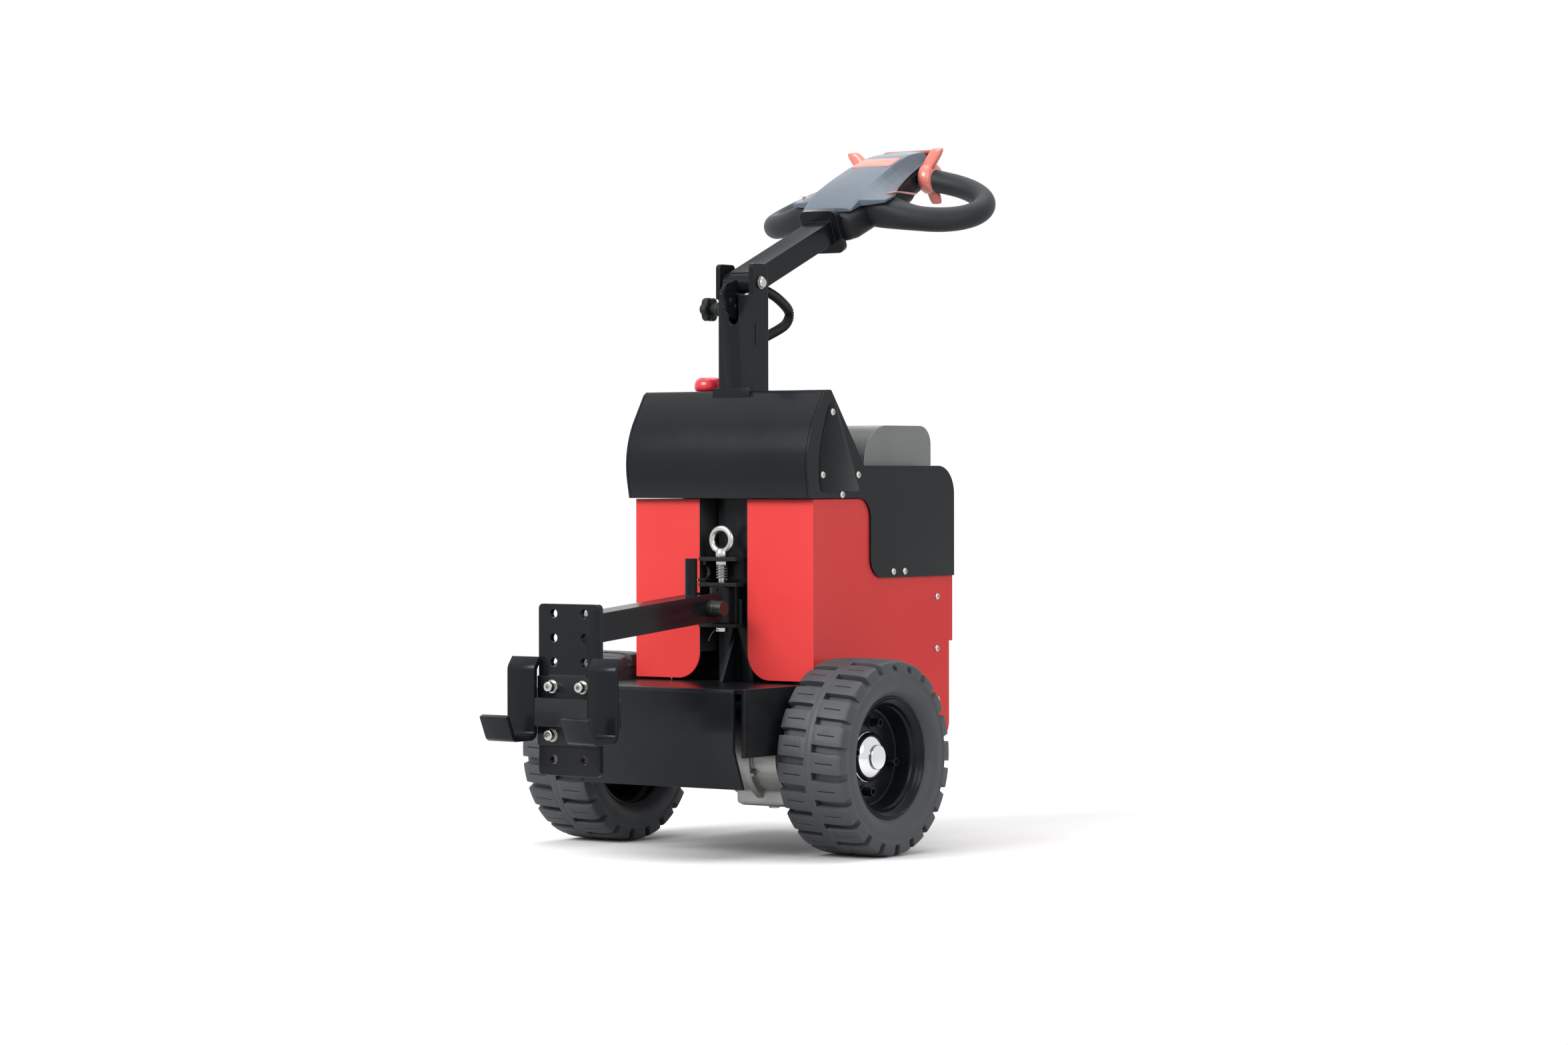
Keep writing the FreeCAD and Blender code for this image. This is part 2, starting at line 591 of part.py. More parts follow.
def held(name, items):
    """One object that carries others, so that it can be turned as a whole."""
    item = doc.addObject("Part::Compound", name)
    item.Links = items
    return item


def tiller_piece(name, item):
    """Tiller pieces are made level, with the pivot at the origin, then swung up."""
    item = held(name + "_swung", [item])
    item.Placement = FreeCAD.Placement(Vector(0, 0, 0), Rotation(Vector(1, 0, 0), 10))
    bind(item, "Placement.Rotation.Angle", "tiller_angle")
    place(item, "0", "pivot_place", "pivot_height")
    return node(name, item)


def tiller():
    """Square arm on a barrel, with the indexed sector and the head's socket."""
    left = "-column_width / 2 - ear_offset + ear_sheet + face_gap"
    right = "column_width / 2 - ear_sheet - face_gap"
    barrel = rod("arm_barrel", "X", left, "0", "0", "barrel_radius", f"{right} - ({left})")
    hole = rod("arm_barrel_hole", "X", "-column_width", "0", "0", "pin_radius + running_gap",
               "2 * column_width")
    beam = centred_box("arm_beam", "arm_width", "0", "-arm_height / 2", "arm_length",
                       "arm_height")
    socket = centred_box("arm_socket", "socket_size", "arm_length", "-socket_size / 2",
                         "socket_sheet", "socket_size")
    gland = tilted_rod("arm_gland", "0", "gland_place", "-gland_depth", "-gland_angle",
                       "gland_radius", "gland_length")
    tiller_piece("tiller_arm", cut("arm_pierced", fuse("arm_solid", [barrel, beam, socket,
                                                                     gland]), [hole]))
    outline = [("0", "-barrel_radius"), ("0", "barrel_radius / 2"),
               ("-sector_root", "barrel_radius * 0.9")]
    for step in range(6):
        angle = f"(sector_start + sector_sweep * {step} / 5)"
        outline.append((f"sector_radius * cos({angle})", f"sector_radius * sin({angle})"))
    plate = profile("sector_plate", "YZ", outline, "-slot_offset - sector_sheet / 2",
                    "sector_sheet", [([2], "sector_hole_radius")])
    holes = [rod("sector_clearance", "X", "-column_width", "0", "0",
                 "barrel_radius + running_gap", "2 * column_width")]
    for step in range(3):
        angle = f"(sector_hole_angle - sector_step * {step})"
        holes.append(rod(f"sector_hole_{step}", "X", "-column_width",
                         f"sector_hole_circle * cos({angle})",
                         f"sector_hole_circle * sin({angle})", "sector_hole_radius",
                         "2 * column_width"))
    arm_gap = centred_box("sector_arm_gap", "arm_width", "0", "-arm_height / 2", "arm_length",
                          "arm_height")
    tiller_piece("index_sector", cut("sector_drilled", plate, holes + [arm_gap]))


def head():
    """Lower housing, winged and crowned cover, label, far button, loops and butterflies."""
    base = profile("head_housing", "YZ", [
        ("head_start", "-base_drop"), ("head_end", "-base_drop"), ("head_end", "base_rise"),
        ("head_start", "base_rise")], "-base_width / 2", "base_width",
        [([0, 1], "base_round")])
    tiller_piece("head_base", base)
    nose = "head_start + nose_set_back"
    notch = f"{nose} + nose_length"
    wing = f"{notch} + wing_lean"
    plan = [("nose_width / 2", nose), ("nose_width / 2", notch), ("wing_width / 2", wing),
            ("wing_width / 2", f"{wing} + wing_length"),
            ("base_width / 2", f"{wing} + wing_length + wing_run"), ("tail_width / 2", "head_end")]
    mirrored = [(f"-({across})", up) for across, up in reversed(plan)]
    slab = profile("cover_plan", "XY", plan + mirrored, "base_rise",
                   "crown_height + base_drop", [([2, 3, 8, 9], "cover_corner")])
    side = profile("cover_side", "YZ", [
        (nose, "base_rise"), ("head_end", "base_rise"), ("head_end", "tail_height"),
        ("head_start + crown_place", "crown_height"), (notch, "notch_height"),
        (nose, "nose_height")], "-wing_width", "2 * wing_width")
    arch = rod("cover_arch", "Y", "0", "0", "crown_height - arch_radius", "arch_radius",
               "2 * head_end")
    cover = common("cover_solid_head", [slab, side, arch])
    label = centred_box("label_pocket", "label_width", "head_start + label_place",
                        "crown_height - label_sheet", "label_length", "label_sheet + 2 * face_gap")
    tiller_piece("tiller_head", cut("head_shell", cover, [label]))
    tiller_piece("head_panel", common("label_plate", [cover, label]))
    tiller_piece("reverse_button", centred_box("button_plate", "button_width", "head_end",
                 "base_rise + 2 * face_gap - button_height / 2", "button_sheet", "button_height"))
    for name, side_sign in SIDES.items():
        tiller_piece(f"grip_{name}", grip(name, side_sign))
        tiller_piece(f"throttle_{name}", butterfly(name, side_sign))


def grip(name, side):
    """Round-bar loop that droops outwards: out of the housing, round and in to the knob."""
    near, far = value("grip_centre - grip_spread"), value("grip_centre + grip_spread")
    middle, run = value("grip_centre"), side * value("grip_run")
    out = side * value("grip_run + grip_bulge")
    start, end = Vector(0, near, 0), Vector(0, far, 0)
    first = Part.LineSegment(start, Vector(run, near, 0))
    oval = Part.Ellipse(Vector(out, middle, 0), Vector(run, far, 0), Vector(run, middle, 0))
    bend = Part.ArcOfEllipse(oval, -math.pi / 2, math.pi / 2)
    last = Part.LineSegment(Vector(run, far, 0), end)
    path = Part.Wire([first.toShape(), bend.toShape(), last.toShape()])
    thick = Part.Wire([Part.Circle(start, Vector(side, 0, 0), value("grip_radius")).toShape()])
    thin = Part.Wire([Part.Circle(end, Vector(side, 0, 0), value("grip_rear_radius")).toShape()])
    loop = doc.addObject("Part::Feature", f"grip_loop_{name}")
    loop.Shape = path.makePipeShell([thick, thin], True, True)
    tilted = held(f"grip_drooped_{name}", [loop])
    tilted.Placement = FreeCAD.Placement(Vector(0, 0, 0), Rotation(Vector(0, side, 0), 10))
    bind(tilted, "Placement.Rotation.Angle", "grip_droop")
    place(tilted, "0", "0", "grip_root_height")
    body = centred_box(f"grip_cut_{name}", "base_width", "0", "-wing_width", "2 * head_end",
                       "2 * wing_width")
    root = centred_box(f"grip_root_cut_{name}", "2 * (knob_end + face_gap)", "grip_centre",
                       "-wing_width", "2 * grip_centre", "2 * wing_width")
    wing = centred_box(f"grip_wing_cut_{name}", "2 * wing_width", "0", "base_rise",
                       "grip_centre", "wing_width")
    bar = cut(f"grip_bar_{name}", tilted, [body, root, wing])
    axle = rod(f"knob_axle_{name}", "X", low_side(side, "base_width / 2", "knob_length + grip_run / 8"),
               "knob_place", "knob_height", "knob_axle_radius", "knob_length + grip_run / 8")
    return fuse(f"grip_solid_{name}", [bar, axle])


def butterfly(name, side):
    """Speed control: two swept wings on a hub that turns on the loop's axle."""
    start = low_side(side, "knob_start", "knob_length")
    wings = profile(f"knob_wings_{name}", "YZ", [
        ("knob_place - knob_sweep", "knob_height + knob_sweep / 2"),
        ("knob_place", "knob_height + knob_wing"),
        ("knob_place + knob_sweep", "knob_height + knob_wing"),
        ("knob_place + knob_sweep", "knob_height - knob_sweep / 2"),
        ("knob_place", "knob_height - knob_wing"),
        ("knob_place - knob_sweep", "knob_height - knob_wing")], start, "knob_length",
        [([1, 2, 4, 5], "cover_corner")])
    hub = rod(f"knob_hub_{name}", "X", start, "knob_place", "knob_height", "knob_radius",
              "knob_length")
    bore = rod(f"knob_bore_{name}", "X", "-wing_width", "knob_place", "knob_height",
               "knob_axle_radius + running_gap", "2 * wing_width")
    return cut(f"knob_{name}", fuse(f"knob_solid_{name}", [wings, hub]), [bore])


CONDUIT_ROUTE = [(61.26, 726.11), (85, 720.67), (110, 709), (127, 697), (119, 681.5), (99, 673),
                 (76, 665.2), (52.2, 656.72)]


def conduit():
    """Flexible cable conduit that hangs behind the column, from the arm to the column."""
    route = [Vector(0, across, up) for across, up in CONDUIT_ROUTE]
    pieces, last = [], route[0]
    for before, corner, after in zip(route, route[1:], route[2:]):
        back, ahead = (before - corner), (after - corner)
        reach = 0.45 * min(back.Length, ahead.Length)
        start = corner + back.normalize() * reach
        end = corner + ahead.normalize() * reach
        middle = (back + ahead).normalize()
        half_turn = math.pi / 2 - math.acos(max(-1, min(1, back.dot(middle))))
        bend = reach / math.tan(half_turn)
        depth = bend / math.cos(half_turn) - bend
        pieces.append(Part.LineSegment(last, start).toShape())
        pieces.append(Part.Arc(start, corner + middle * depth, end).toShape())
        last = end
    pieces.append(Part.LineSegment(last, route[-1]).toShape())
    ring = Part.Wire([Part.Circle(route[0], route[1] - route[0],
                                  value("conduit_radius")).toShape()])
    item = doc.addObject("Part::Feature", "conduit_tube")
    item.Shape = Part.Wire(pieces).makePipeShell([ring], True, True)
    node("conduit", item)


# ---------------------------------------------------------------- hitch and coupling

def hitch():
    """Three shelves in the recess, the sprung pull ring's rod and the swinging block."""
    shelves = []
    for name in ("low", "middle", "high"):
        shelves.append(centred_box(f"shelf_{name}", "shelf_width", "-(shelf_front)",
                                   f"{name}_shelf", "shelf_reach", "shelf_sheet"))
    rib = box("shelf_rib", "-rib_place - shelf_sheet / 2", "-(shelf_front) + shelf_sheet",
              "middle_shelf_top", "shelf_sheet", "shelf_reach - shelf_sheet", "spring_height")
    rib_bite = rod("rib_bite", "X", "-shelf_width", "-(shelf_front) + shelf_sheet",
                   "middle_shelf_top + spring_height / 2", "rib_round - shelf_sheet",
                   "shelf_width")
    walls = [box("shelf_wall", "-rib_place - shelf_sheet / 2", "column_front - shelf_sheet",
                 "low_shelf", "shelf_sheet", "shelf_sheet", "hub_height + 2 * shelf_sheet"),
             box("shelf_wall_right", "rib_place - shelf_sheet / 2",
                 "column_front - shelf_sheet", "low_shelf", "shelf_sheet", "shelf_sheet",
                 "high_shelf_top - low_shelf")]
    stop = rod("swing_stop", "Z", "stop_rod_place", "-stop_rod_inset", "low_shelf_top",
               "stop_rod_radius", "stop_rod_height")
    bore = rod("kingpin_bore", "Z", "0", "-kingpin_place", "low_shelf - face_gap",
               "kingpin_radius + running_gap", "high_shelf_top - low_shelf + 2 * face_gap")
    solid = fuse("hitch_solid", shelves + walls + [cut("rib_bitten", rib, [rib_bite]), stop])
    node("hitch_bracket", cut("hitch_pierced", solid, [bore]))
    shank = rod("kingpin_shank", "Z", "0", "-kingpin_place", "low_shelf - nut_height",
                "kingpin_radius", "high_shelf_top - low_shelf + nut_height + ring_neck / 2")
    neck = rod("kingpin_neck", "Z", "0", "-kingpin_place", "high_shelf_top",
               "ring_neck_radius", "ring_neck")
    nuts = [hexagon(f"kingpin_nut_{name}", "Z", "0", "-kingpin_place", f"{name}_shelf - nut_height",
                    "nut_radius", "nut_height") for name in ("low", "high")]
    ring = doc.addObject("Part::Torus", "pull_ring_loop")
    bind(ring, "Radius1", "ring_radius")
    bind(ring, "Radius2", "ring_wire")
    ring.Placement.Rotation = Rotation(Vector(0, 0, 1), 9) * AXES["Y"]
    place(ring, "0", "-kingpin_place", "high_shelf_top + ring_neck + ring_radius")
    node("pull_ring", fuse("pull_ring_solid", [shank, neck, ring] + nuts))
    low = "low_shelf_top + face_gap / 2"
    hub = rod("swing_hub", "Z", "0", "-kingpin_place", low, "hub_radius",
              "hub_height - face_gap")
    lug = centred_box("swing_lug", "lug_sheet", "-(lift_place)", "lift_height - lug_radius",
                      "lug_reach", "2 * lug_radius")
    eye = rod("swing_eye", "X", "-lug_sheet / 2", "-(lift_place)", "lift_height", "lug_radius",
              "lug_sheet")
    bores = [rod("swing_bore", "Z", "0", "-kingpin_place", "low_shelf",
                 "kingpin_radius + running_gap", "2 * hub_height"),
             rod("lift_bore", "X", "-lug_sheet", "-(lift_place)", "lift_height",
                 "lift_pin_radius + running_gap", "2 * lug_sheet")]
    node("swing_block", cut("swing_pierced", fuse("swing_solid", [hub, lug, eye]), bores))


def coupling():
    """Sloping tube with a fork and a post, the drilled plate and the two-hook carrier."""
    half = "tow_arm_size / 2"
    inner = "tow_arm_size - 2 * tow_arm_wall"
    tube = centred_box("arm_tube", "tow_arm_size", "-coupling_reach - tow_arm_wall", f"-{half}",
                       "coupling_reach + tow_arm_wall + tow_arm_tail", "tow_arm_size")
    tunnel = centred_box("arm_tunnel", inner, "-coupling_reach", f"-{half} + tow_arm_wall",
                         "2 * coupling_reach", inner)
    fork = centred_box("arm_fork", inner, "-tow_arm_fork", "-tow_arm_size",
                       "2 * (tow_arm_tail + tow_arm_fork)", "2 * tow_arm_size")
    holes = rod("arm_holes", "X", "-tow_arm_size", "0", "0", "lift_pin_radius + running_gap",
                "2 * tow_arm_size")
    level = held("tow_arm_sloped", [cut("tow_arm_level", tube, [tunnel, fork, holes])])
    level.Placement = FreeCAD.Placement(Vector(0, 0, 0), Rotation(Vector(1, 0, 0), 10))
    bind(level, "Placement.Rotation.Angle", "tow_arm_angle")
    place(level, "0", "-(lift_place)", "lift_height")
    front = centred_box("tow_arm_trim", "2 * tow_arm_size", "-(plate_back) - tow_arm_size",
                        "coupling_low", "tow_arm_size", "coupling_height")
    post = rod("tow_post", "Z", "0", "-(lift_place) - post_place",
               "lift_height + tow_arm_size / 2 - tow_arm_wall", "post_radius",
               "post_height - tow_arm_size / 2 + tow_arm_wall")
    node("tow_arm", cut("tow_arm_trimmed", fuse("tow_arm_solid", [level, post]), [front]))
    shaft = rod("lift_shaft", "X", f"-{half} - lift_head", "-(lift_place)", "lift_height",
                "lift_pin_radius", "tow_arm_size + lift_head + lift_collar + lift_end")
    pin_head = rod("lift_pin_head", "X", f"-{half} - lift_head", "-(lift_place)", "lift_height",
                   "lift_collar_radius", "lift_head")
    collar = rod("lift_pin_collar", "X", half, "-(lift_place)", "lift_height",
                 "lift_collar_radius", "lift_collar")
    end = rod("lift_pin_end", "X", f"{half} + lift_collar", "-(lift_place)", "lift_height",
              "lift_collar_radius - face_gap", "lift_end")
    node("lift_pin", fuse("lift_pin_solid", [shaft, pin_head, collar, end]))
    plate = profile("drilled_plate", "XZ", [
        ("-coupling_width / 2", "coupling_low"), ("coupling_width / 2", "coupling_low"),
        ("coupling_width / 2", "coupling_top"), ("-coupling_width / 2", "coupling_top")],
        "plate_back", "coupling_sheet", [([0, 1, 2, 3], "coupling_round")])
    holes = []
    for row in range(7):
        for name, side in SIDES.items():
            holes.append(rod(f"plate_hole_{name}_{row}", "Y", f"{side} * hole_columns / 2",
                             "-(plate_face) - face_gap",
                             f"coupling_top - hole_margin - {row} * hole_pitch",
                             "hole_radius", "coupling_sheet + 2 * face_gap"))
    node("coupling_plate", cut("plate_drilled", plate, holes))
    low = "coupling_low + carrier_rise"
    backing = centred_box("carrier_plate", "coupling_width", "-(carrier_face)", low,
                          "carrier_sheet", "carrier_height")
    channel_low = f"{low} + carrier_height - channel_drop - channel_height"
    strap = centred_box("carrier_strap", "hook_spacing + hook_width - 2 * face_gap",
                        "-(strip_back)", channel_low, "strap_sheet", "channel_height")
    channel = centred_box("carrier_channel", "hook_spacing - hook_width - face_gap",
                          "-(strip_face)", channel_low, "strap_sheet + hook_sheet",
                          "channel_height")
    node("hook_carrier", fuse("carrier_solid", [backing, strap, channel]))
    for name, side in SIDES.items():
        node(f"hook_{name}", hook(name, side))


def hook(name, side):
    """Bent strip: tip leaning back, straight run, shelf and a lip that leans forward."""
    back, face, toe = "-(strip_back)", "-(strip_face)", "-(strip_face) - hook_reach"
    tip, lean, sheet = "hook_tip_angle", "hook_lip_angle", "hook_sheet"
    points = [
        (back, "hook_low"), (back, "hook_bend"),
        (f"{back} + hook_tip * sin({tip})", f"hook_bend + hook_tip * cos({tip})"),
        (f"{back} + hook_tip * sin({tip}) - {sheet} * cos({tip})",
         f"hook_bend + hook_tip * cos({tip}) + {sheet} * sin({tip})"),
        (face, f"hook_bend + {sheet} * tan({tip} / 2)"),
        (face, f"hook_low + {sheet}"),
        (f"{toe} + {sheet} * (1 - sin({lean})) / cos({lean})", f"hook_low + {sheet}"),
        (f"{toe} + {sheet} * cos({lean}) - hook_lip * sin({lean})",
         f"hook_low + {sheet} * sin({lean}) + hook_lip * cos({lean})"),
        (f"{toe} - hook_lip * sin({lean})", f"hook_low + hook_lip * cos({lean})"),
        (toe, "hook_low")]
    low = f"{side} * hook_spacing / 2 - hook_width / 2"
    return profile(f"hook_strip_{name}", "YZ", points, low, "hook_width",
                   [([0, 9], "1.2 * hook_sheet"), ([5, 6], "hook_sheet / 3")])


# ---------------------------------------------------------------- drive

def wheel_piece(kind, name, side, item):
    """The left-hand copy of a wheel piece faces the other way."""
    if side < 0:
        item.Placement.Rotation = Rotation(Vector(0, 0, 1), 180)
    place(item, f"{side} * wheel_spacing / 2", "0", "axle_height")
    return node(f"{kind}_{name}", item)


LUGS = 22
GROOVE_SLANT = -4


def flat_sided_ring(name, points):
    """A ring about the X axis from (along X, radius) corners, with two flat sides to a lug."""
    sides = 2 * LUGS
    reach = 1 / math.cos(math.pi / sides)
    corners = []
    for side in range(sides):
        angle = math.radians(360 * (side + 0.5) / sides)
        corners.append([Vector(value(across), -value(radius) * reach * math.sin(angle),
                               value(radius) * reach * math.cos(angle))
                        for across, radius in points])
    faces = []
    for side, near in enumerate(corners):
        far = corners[(side + 1) % sides]
        for index in range(len(points)):
            after = (index + 1) % len(points)
            faces.append(Part.Face(Part.makePolygon(
                [near[index], near[after], far[after], far[index], near[index]])))
    item = doc.addObject("Part::Feature", name)
    item.Shape = Part.makeSolid(Part.makeShell(faces))
    return item


def tread_grooves(name):
    """The slots between the lugs: one outline, repeated round the tyre on each side of its rib."""
    top, floor = "wheel_diameter / 2 + face_gap", "wheel_diameter / 2 - groove_depth"
    side = "wheel_width / 2 + face_gap"
    slot = profile(f"tread_slot_{name}", "XZ", [
        ("tread_rib", top), ("tread_rib", floor), ("wheel_width / 2 - groove_turn", floor),
        (side, f"{floor} - groove_drop"), (side, top)], "-groove_width / 2", "groove_width").Shape
    slots = []
    for row, first in ((0, 0), (180, 0.5)):
        for turn in range(LUGS):
            copy = slot.copy()
            copy.rotate(Vector(), Vector(0, 0, 1), row + GROOVE_SLANT)
            copy.rotate(Vector(), Vector(1, 0, 0), (turn + first) * 360 / LUGS)
            slots.append(copy)
    item = doc.addObject("Part::Feature", f"tread_grooves_{name}")
    item.Shape = Part.makeCompound(slots)
    return item


def wheels():
    """Two drive wheels: lugged tyre, dished rim and domed hub on each side."""
    half, outer = "wheel_width / 2", "wheel_diameter / 2"
    inside, rim_half = "rim_radius - rim_sheet", "rim_width / 2"
    lug_plane, seat = "rim_width / 2 - dish_depth", "rim_radius - rim_sheet + running_gap"
    for name, side in SIDES.items():
        tyre = flat_sided_ring(f"tyre_ring_{name}", [
            (f"-{rim_half} + rim_flare", seat), (f"-{rim_half}", "rim_radius + running_gap"),
            (f"-{half} + sidewall_set_in", "rim_radius + rim_lip"),
            (f"-{half}", f"{outer} - sidewall_height"), (f"-{half}", f"{outer} - shoulder_drop"),
            (f"-{half} + corner_set_in", f"{outer} - tread_crown"),
            ("-tread_flat / 2", outer), ("tread_flat / 2", outer),
            (f"{half} - corner_set_in", f"{outer} - tread_crown"),
            (half, f"{outer} - shoulder_drop"), (half, f"{outer} - sidewall_height"),
            (f"{half} - sidewall_set_in", "rim_radius + rim_lip"),
            (rim_half, "rim_radius + running_gap"), (f"{rim_half} - rim_flare", seat)])
        tyre = cut(f"tyre_lugs_{name}", tyre, [tread_grooves(name)])
        wheel_piece("tyre", name, side, tyre)
        barrel = f"{inside} - rim_sheet"
        rim = turned(f"rim_ring_{name}", [
            (f"-{rim_half} + rim_flare", inside), (f"-{rim_half}", "rim_radius"),
            (f"-{rim_half}", "rim_radius - rim_lip / 2"),
            (f"-{rim_half} + 1.5 * rim_flare", f"{barrel} - rim_lip / 2"),
            (f"{lug_plane} - disc_sheet", f"{barrel} - rim_lip"),
            (f"{lug_plane} - disc_sheet", "disc_hole_radius"), (lug_plane, "disc_hole_radius"),
            (lug_plane, f"{barrel} - rim_sheet"), (f"{lug_plane} + rim_lip",
             f"{barrel} - rim_lip"), (f"{rim_half} - 1.5 * rim_flare", f"{barrel} - rim_lip / 2"),
            (f"{rim_half} - 0.8 * rim_flare", f"{barrel} + rim_lip / 2"),
            (f"{rim_half} - rim_flare / 4", "rim_radius - rim_lip"),
            (rim_half, "rim_radius - rim_lip / 2"), (rim_half, "rim_radius"),
            (f"{rim_half} - rim_flare", inside)])
        wheel_piece("rim", name, side, rim)
        base = f"{lug_plane} + dome_proud - dome_length"
        dome = [(base, "0"), (base, "dome_radius"), (f"{base} + dome_length / 3", "dome_radius")]
        for step in range(1, 6):
            angle = 18 * step
            dome.append((f"{base} + dome_length / 3 + dome_length * 2 / 3 * sin({angle})",
                         f"dome_flat_radius + (dome_radius - dome_flat_radius) * cos({angle})"))
        dome.append((f"{base} + dome_length", "0"))
        wheel_piece("hub", name, side, turned(f"hub_dome_{name}", dome))


def transaxle():
    """Cast gear case, ribbed at its rim, and motor between the wheels."""
    case = rod("gear_case", "X", "case_offset", "0", "axle_height", "case_radius", "case_width")
    rib = rod("gear_case_rib", "X", "case_offset + case_width / 2 - case_rib", "0", "axle_height",
              "case_radius + case_rib", "2 * case_rib")
    motor = rod("drive_motor", "X", "case_offset - motor_length", "motor_offset",
                "axle_height + motor_rise", "motor_radius", "motor_length + case_rib")
    tube = rod("axle_tube", "X", "-axle_tube_length / 2", "0", "axle_height",
               "axle_tube_radius", "axle_tube_length")
    reach = "(wheel_spacing + rim_width) / 2 - dish_depth + dome_proud - dome_length - face_gap / 2"
    shaft = rod("drive_shaft", "X", f"-({reach})", "0", "axle_height", "shaft_radius",
                f"2 * ({reach})")
    node("transaxle", fuse("transaxle_solid", [case, rib, motor, tube, shaft]))


def caster():
    """Swivel caster under the rear of the deck: top plate, race, fork, wheel and axle."""
    plate = centred_box("caster_top", "caster_plate_width", "caster_place - caster_plate_length / 2",
                        "race_top", "caster_plate_length", "caster_sheet")
    race = rod("caster_race", "Z", "0", "caster_place", "race_top - race_height / 2",
               "race_radius", "race_height / 2")
    node("caster_plate", fuse("caster_top_solid", [plate, race]))
    crown = rod("fork_crown", "Z", "0", "caster_place", "crown_top - caster_sheet",
                "fork_gap / 2 + caster_sheet", "caster_sheet")
    legs = []
    for name, side in SIDES.items():
        legs.append(profile(f"fork_leg_{name}", "YZ", [
            ("caster_place - fork_root", "crown_top"), ("caster_place + fork_root", "crown_top"),
            ("caster_axle + fork_foot", "caster_middle"),
            ("caster_axle + fork_foot", "caster_middle - fork_foot"),
            ("caster_axle - fork_foot", "caster_middle - fork_foot")],
            low_side(side, "fork_gap / 2", "caster_sheet"), "caster_sheet"))
    bolt = rod("caster_bolt", "X", "-fork_gap / 2 - 2 * caster_sheet", "caster_axle",
               "caster_middle", "caster_bolt_radius", "fork_gap + 4 * caster_sheet")
    node("caster_fork", fuse("caster_fork_solid", [crown, bolt] + legs))
    half, boss = "caster_width / 2", "caster_width / 2 + boss_overhang"
    bore, edge = "caster_bolt_radius + running_gap", "caster_middle - tyre_round"
    tread = turned("caster_tread", [
        (f"-({boss})", bore), (f"-({boss})", "boss_radius"), (f"-{half}", "boss_radius"),
        (f"-{half}", edge), (f"-{half} + tyre_round", "caster_middle"),
        (f"{half} - tyre_round", "caster_middle"), (half, edge), (half, "boss_radius"),
        (boss, "boss_radius"), (boss, bore)])
    place(tread, "0", "caster_axle", "caster_middle")
    node("caster_wheel", tread)


def export_nodes():
    """Check every object, then write one STEP file for each sub-part."""
    doc.recompute()
    for item in doc.Objects:
        if "Invalid" in item.State or "Error" in item.State:
            raise RuntimeError(f"{item.Label} failed: {item.State}")
    for item in nodes:
        if item.Shape.isNull() or not item.Shape.isValid():
            raise RuntimeError(f"{item.Label} has no valid shape")
    os.makedirs("parts", exist_ok=True)
    for item in nodes:
        item.Shape.exportStep(f"parts/{item.Label}.step")
        solids = len(item.Shape.Solids)
        print(f"{item.Label:18s} {solids} solid(s) {item.Shape.Volume / 1000:9.1f} cm3")


chassis()
side_skins()
hood()
side_plates()
rear_cover()
battery()
column()
controls()
tiller()
head()
conduit()
hitch()
coupling()
transaxle()
wheels()
caster()
export_nodes()
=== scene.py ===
# %% [markdown]
# # Electric tow tractor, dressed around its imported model
#
# A tow tractor is a walk-behind tug: a steel box on two driven tyres, a tiller to steer it and a
# coupling that pulls trolleys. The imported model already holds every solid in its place, so each
# step here takes one kind of part, says what it is on the real machine, and gives it the form and
# finish that the solid leaves out. Lengths are in metres, or in millimetres where MM carries them
# over.

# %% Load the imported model
import json
import math

import bmesh
import bpy
from mathutils import Matrix, Vector
from mathutils.bvhtree import BVHTree


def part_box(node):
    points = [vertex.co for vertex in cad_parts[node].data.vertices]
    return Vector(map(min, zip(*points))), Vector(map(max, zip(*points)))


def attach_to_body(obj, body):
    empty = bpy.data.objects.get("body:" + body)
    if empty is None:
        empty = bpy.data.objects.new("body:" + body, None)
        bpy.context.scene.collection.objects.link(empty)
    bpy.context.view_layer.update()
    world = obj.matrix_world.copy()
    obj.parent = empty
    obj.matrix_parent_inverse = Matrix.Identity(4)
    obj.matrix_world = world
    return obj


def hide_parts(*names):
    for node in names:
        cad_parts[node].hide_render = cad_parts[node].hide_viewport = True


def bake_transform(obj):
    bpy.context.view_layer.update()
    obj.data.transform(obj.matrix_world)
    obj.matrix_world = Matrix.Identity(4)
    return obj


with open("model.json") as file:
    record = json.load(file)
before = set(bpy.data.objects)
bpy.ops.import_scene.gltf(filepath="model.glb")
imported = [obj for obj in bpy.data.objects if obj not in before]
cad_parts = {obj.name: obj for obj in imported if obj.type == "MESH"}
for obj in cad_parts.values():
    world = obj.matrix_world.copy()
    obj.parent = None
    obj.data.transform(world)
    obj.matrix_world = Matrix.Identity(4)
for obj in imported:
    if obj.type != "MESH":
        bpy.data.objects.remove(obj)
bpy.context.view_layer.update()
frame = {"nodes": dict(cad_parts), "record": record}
nodes = frame["nodes"]
bodies = frame["record"]["behaviour"]["bodies"]
body_of = {node: body for body, members in bodies.items() for node in members}
slot_of = {part["node"]: part["material_slot"] for part in frame["record"]["subparts"]}
MM = 0.001

# %% [markdown]
# ## Camera
#
# A long lens from far away keeps upright edges upright, which is how machines are usually shown.
# It could be aimed with a Track To constraint, but three plain angles are easier to read again.

# %% Place the camera
camera = bpy.data.objects.new("camera", bpy.data.cameras.new("camera"))
bpy.context.scene.collection.objects.link(camera)
bpy.context.scene.camera = camera
camera.data.sensor_width = 36.0
camera.data.lens = 95.59
camera.data.clip_end = 50.0
turn, dip, roll = math.radians(35.96), math.radians(0.67), math.radians(-0.09)
camera.matrix_world = (Matrix.Translation((3.223, -4.331, 0.484)) @ Matrix.Rotation(turn, 4, "Z")
                       @ Matrix.Rotation(math.pi / 2 - dip, 4, "X") @ Matrix.Rotation(roll, 4, "Z"))
print("camera stands", round((camera.location - Vector((0, 0, 0.45))).length, 2), "m away")

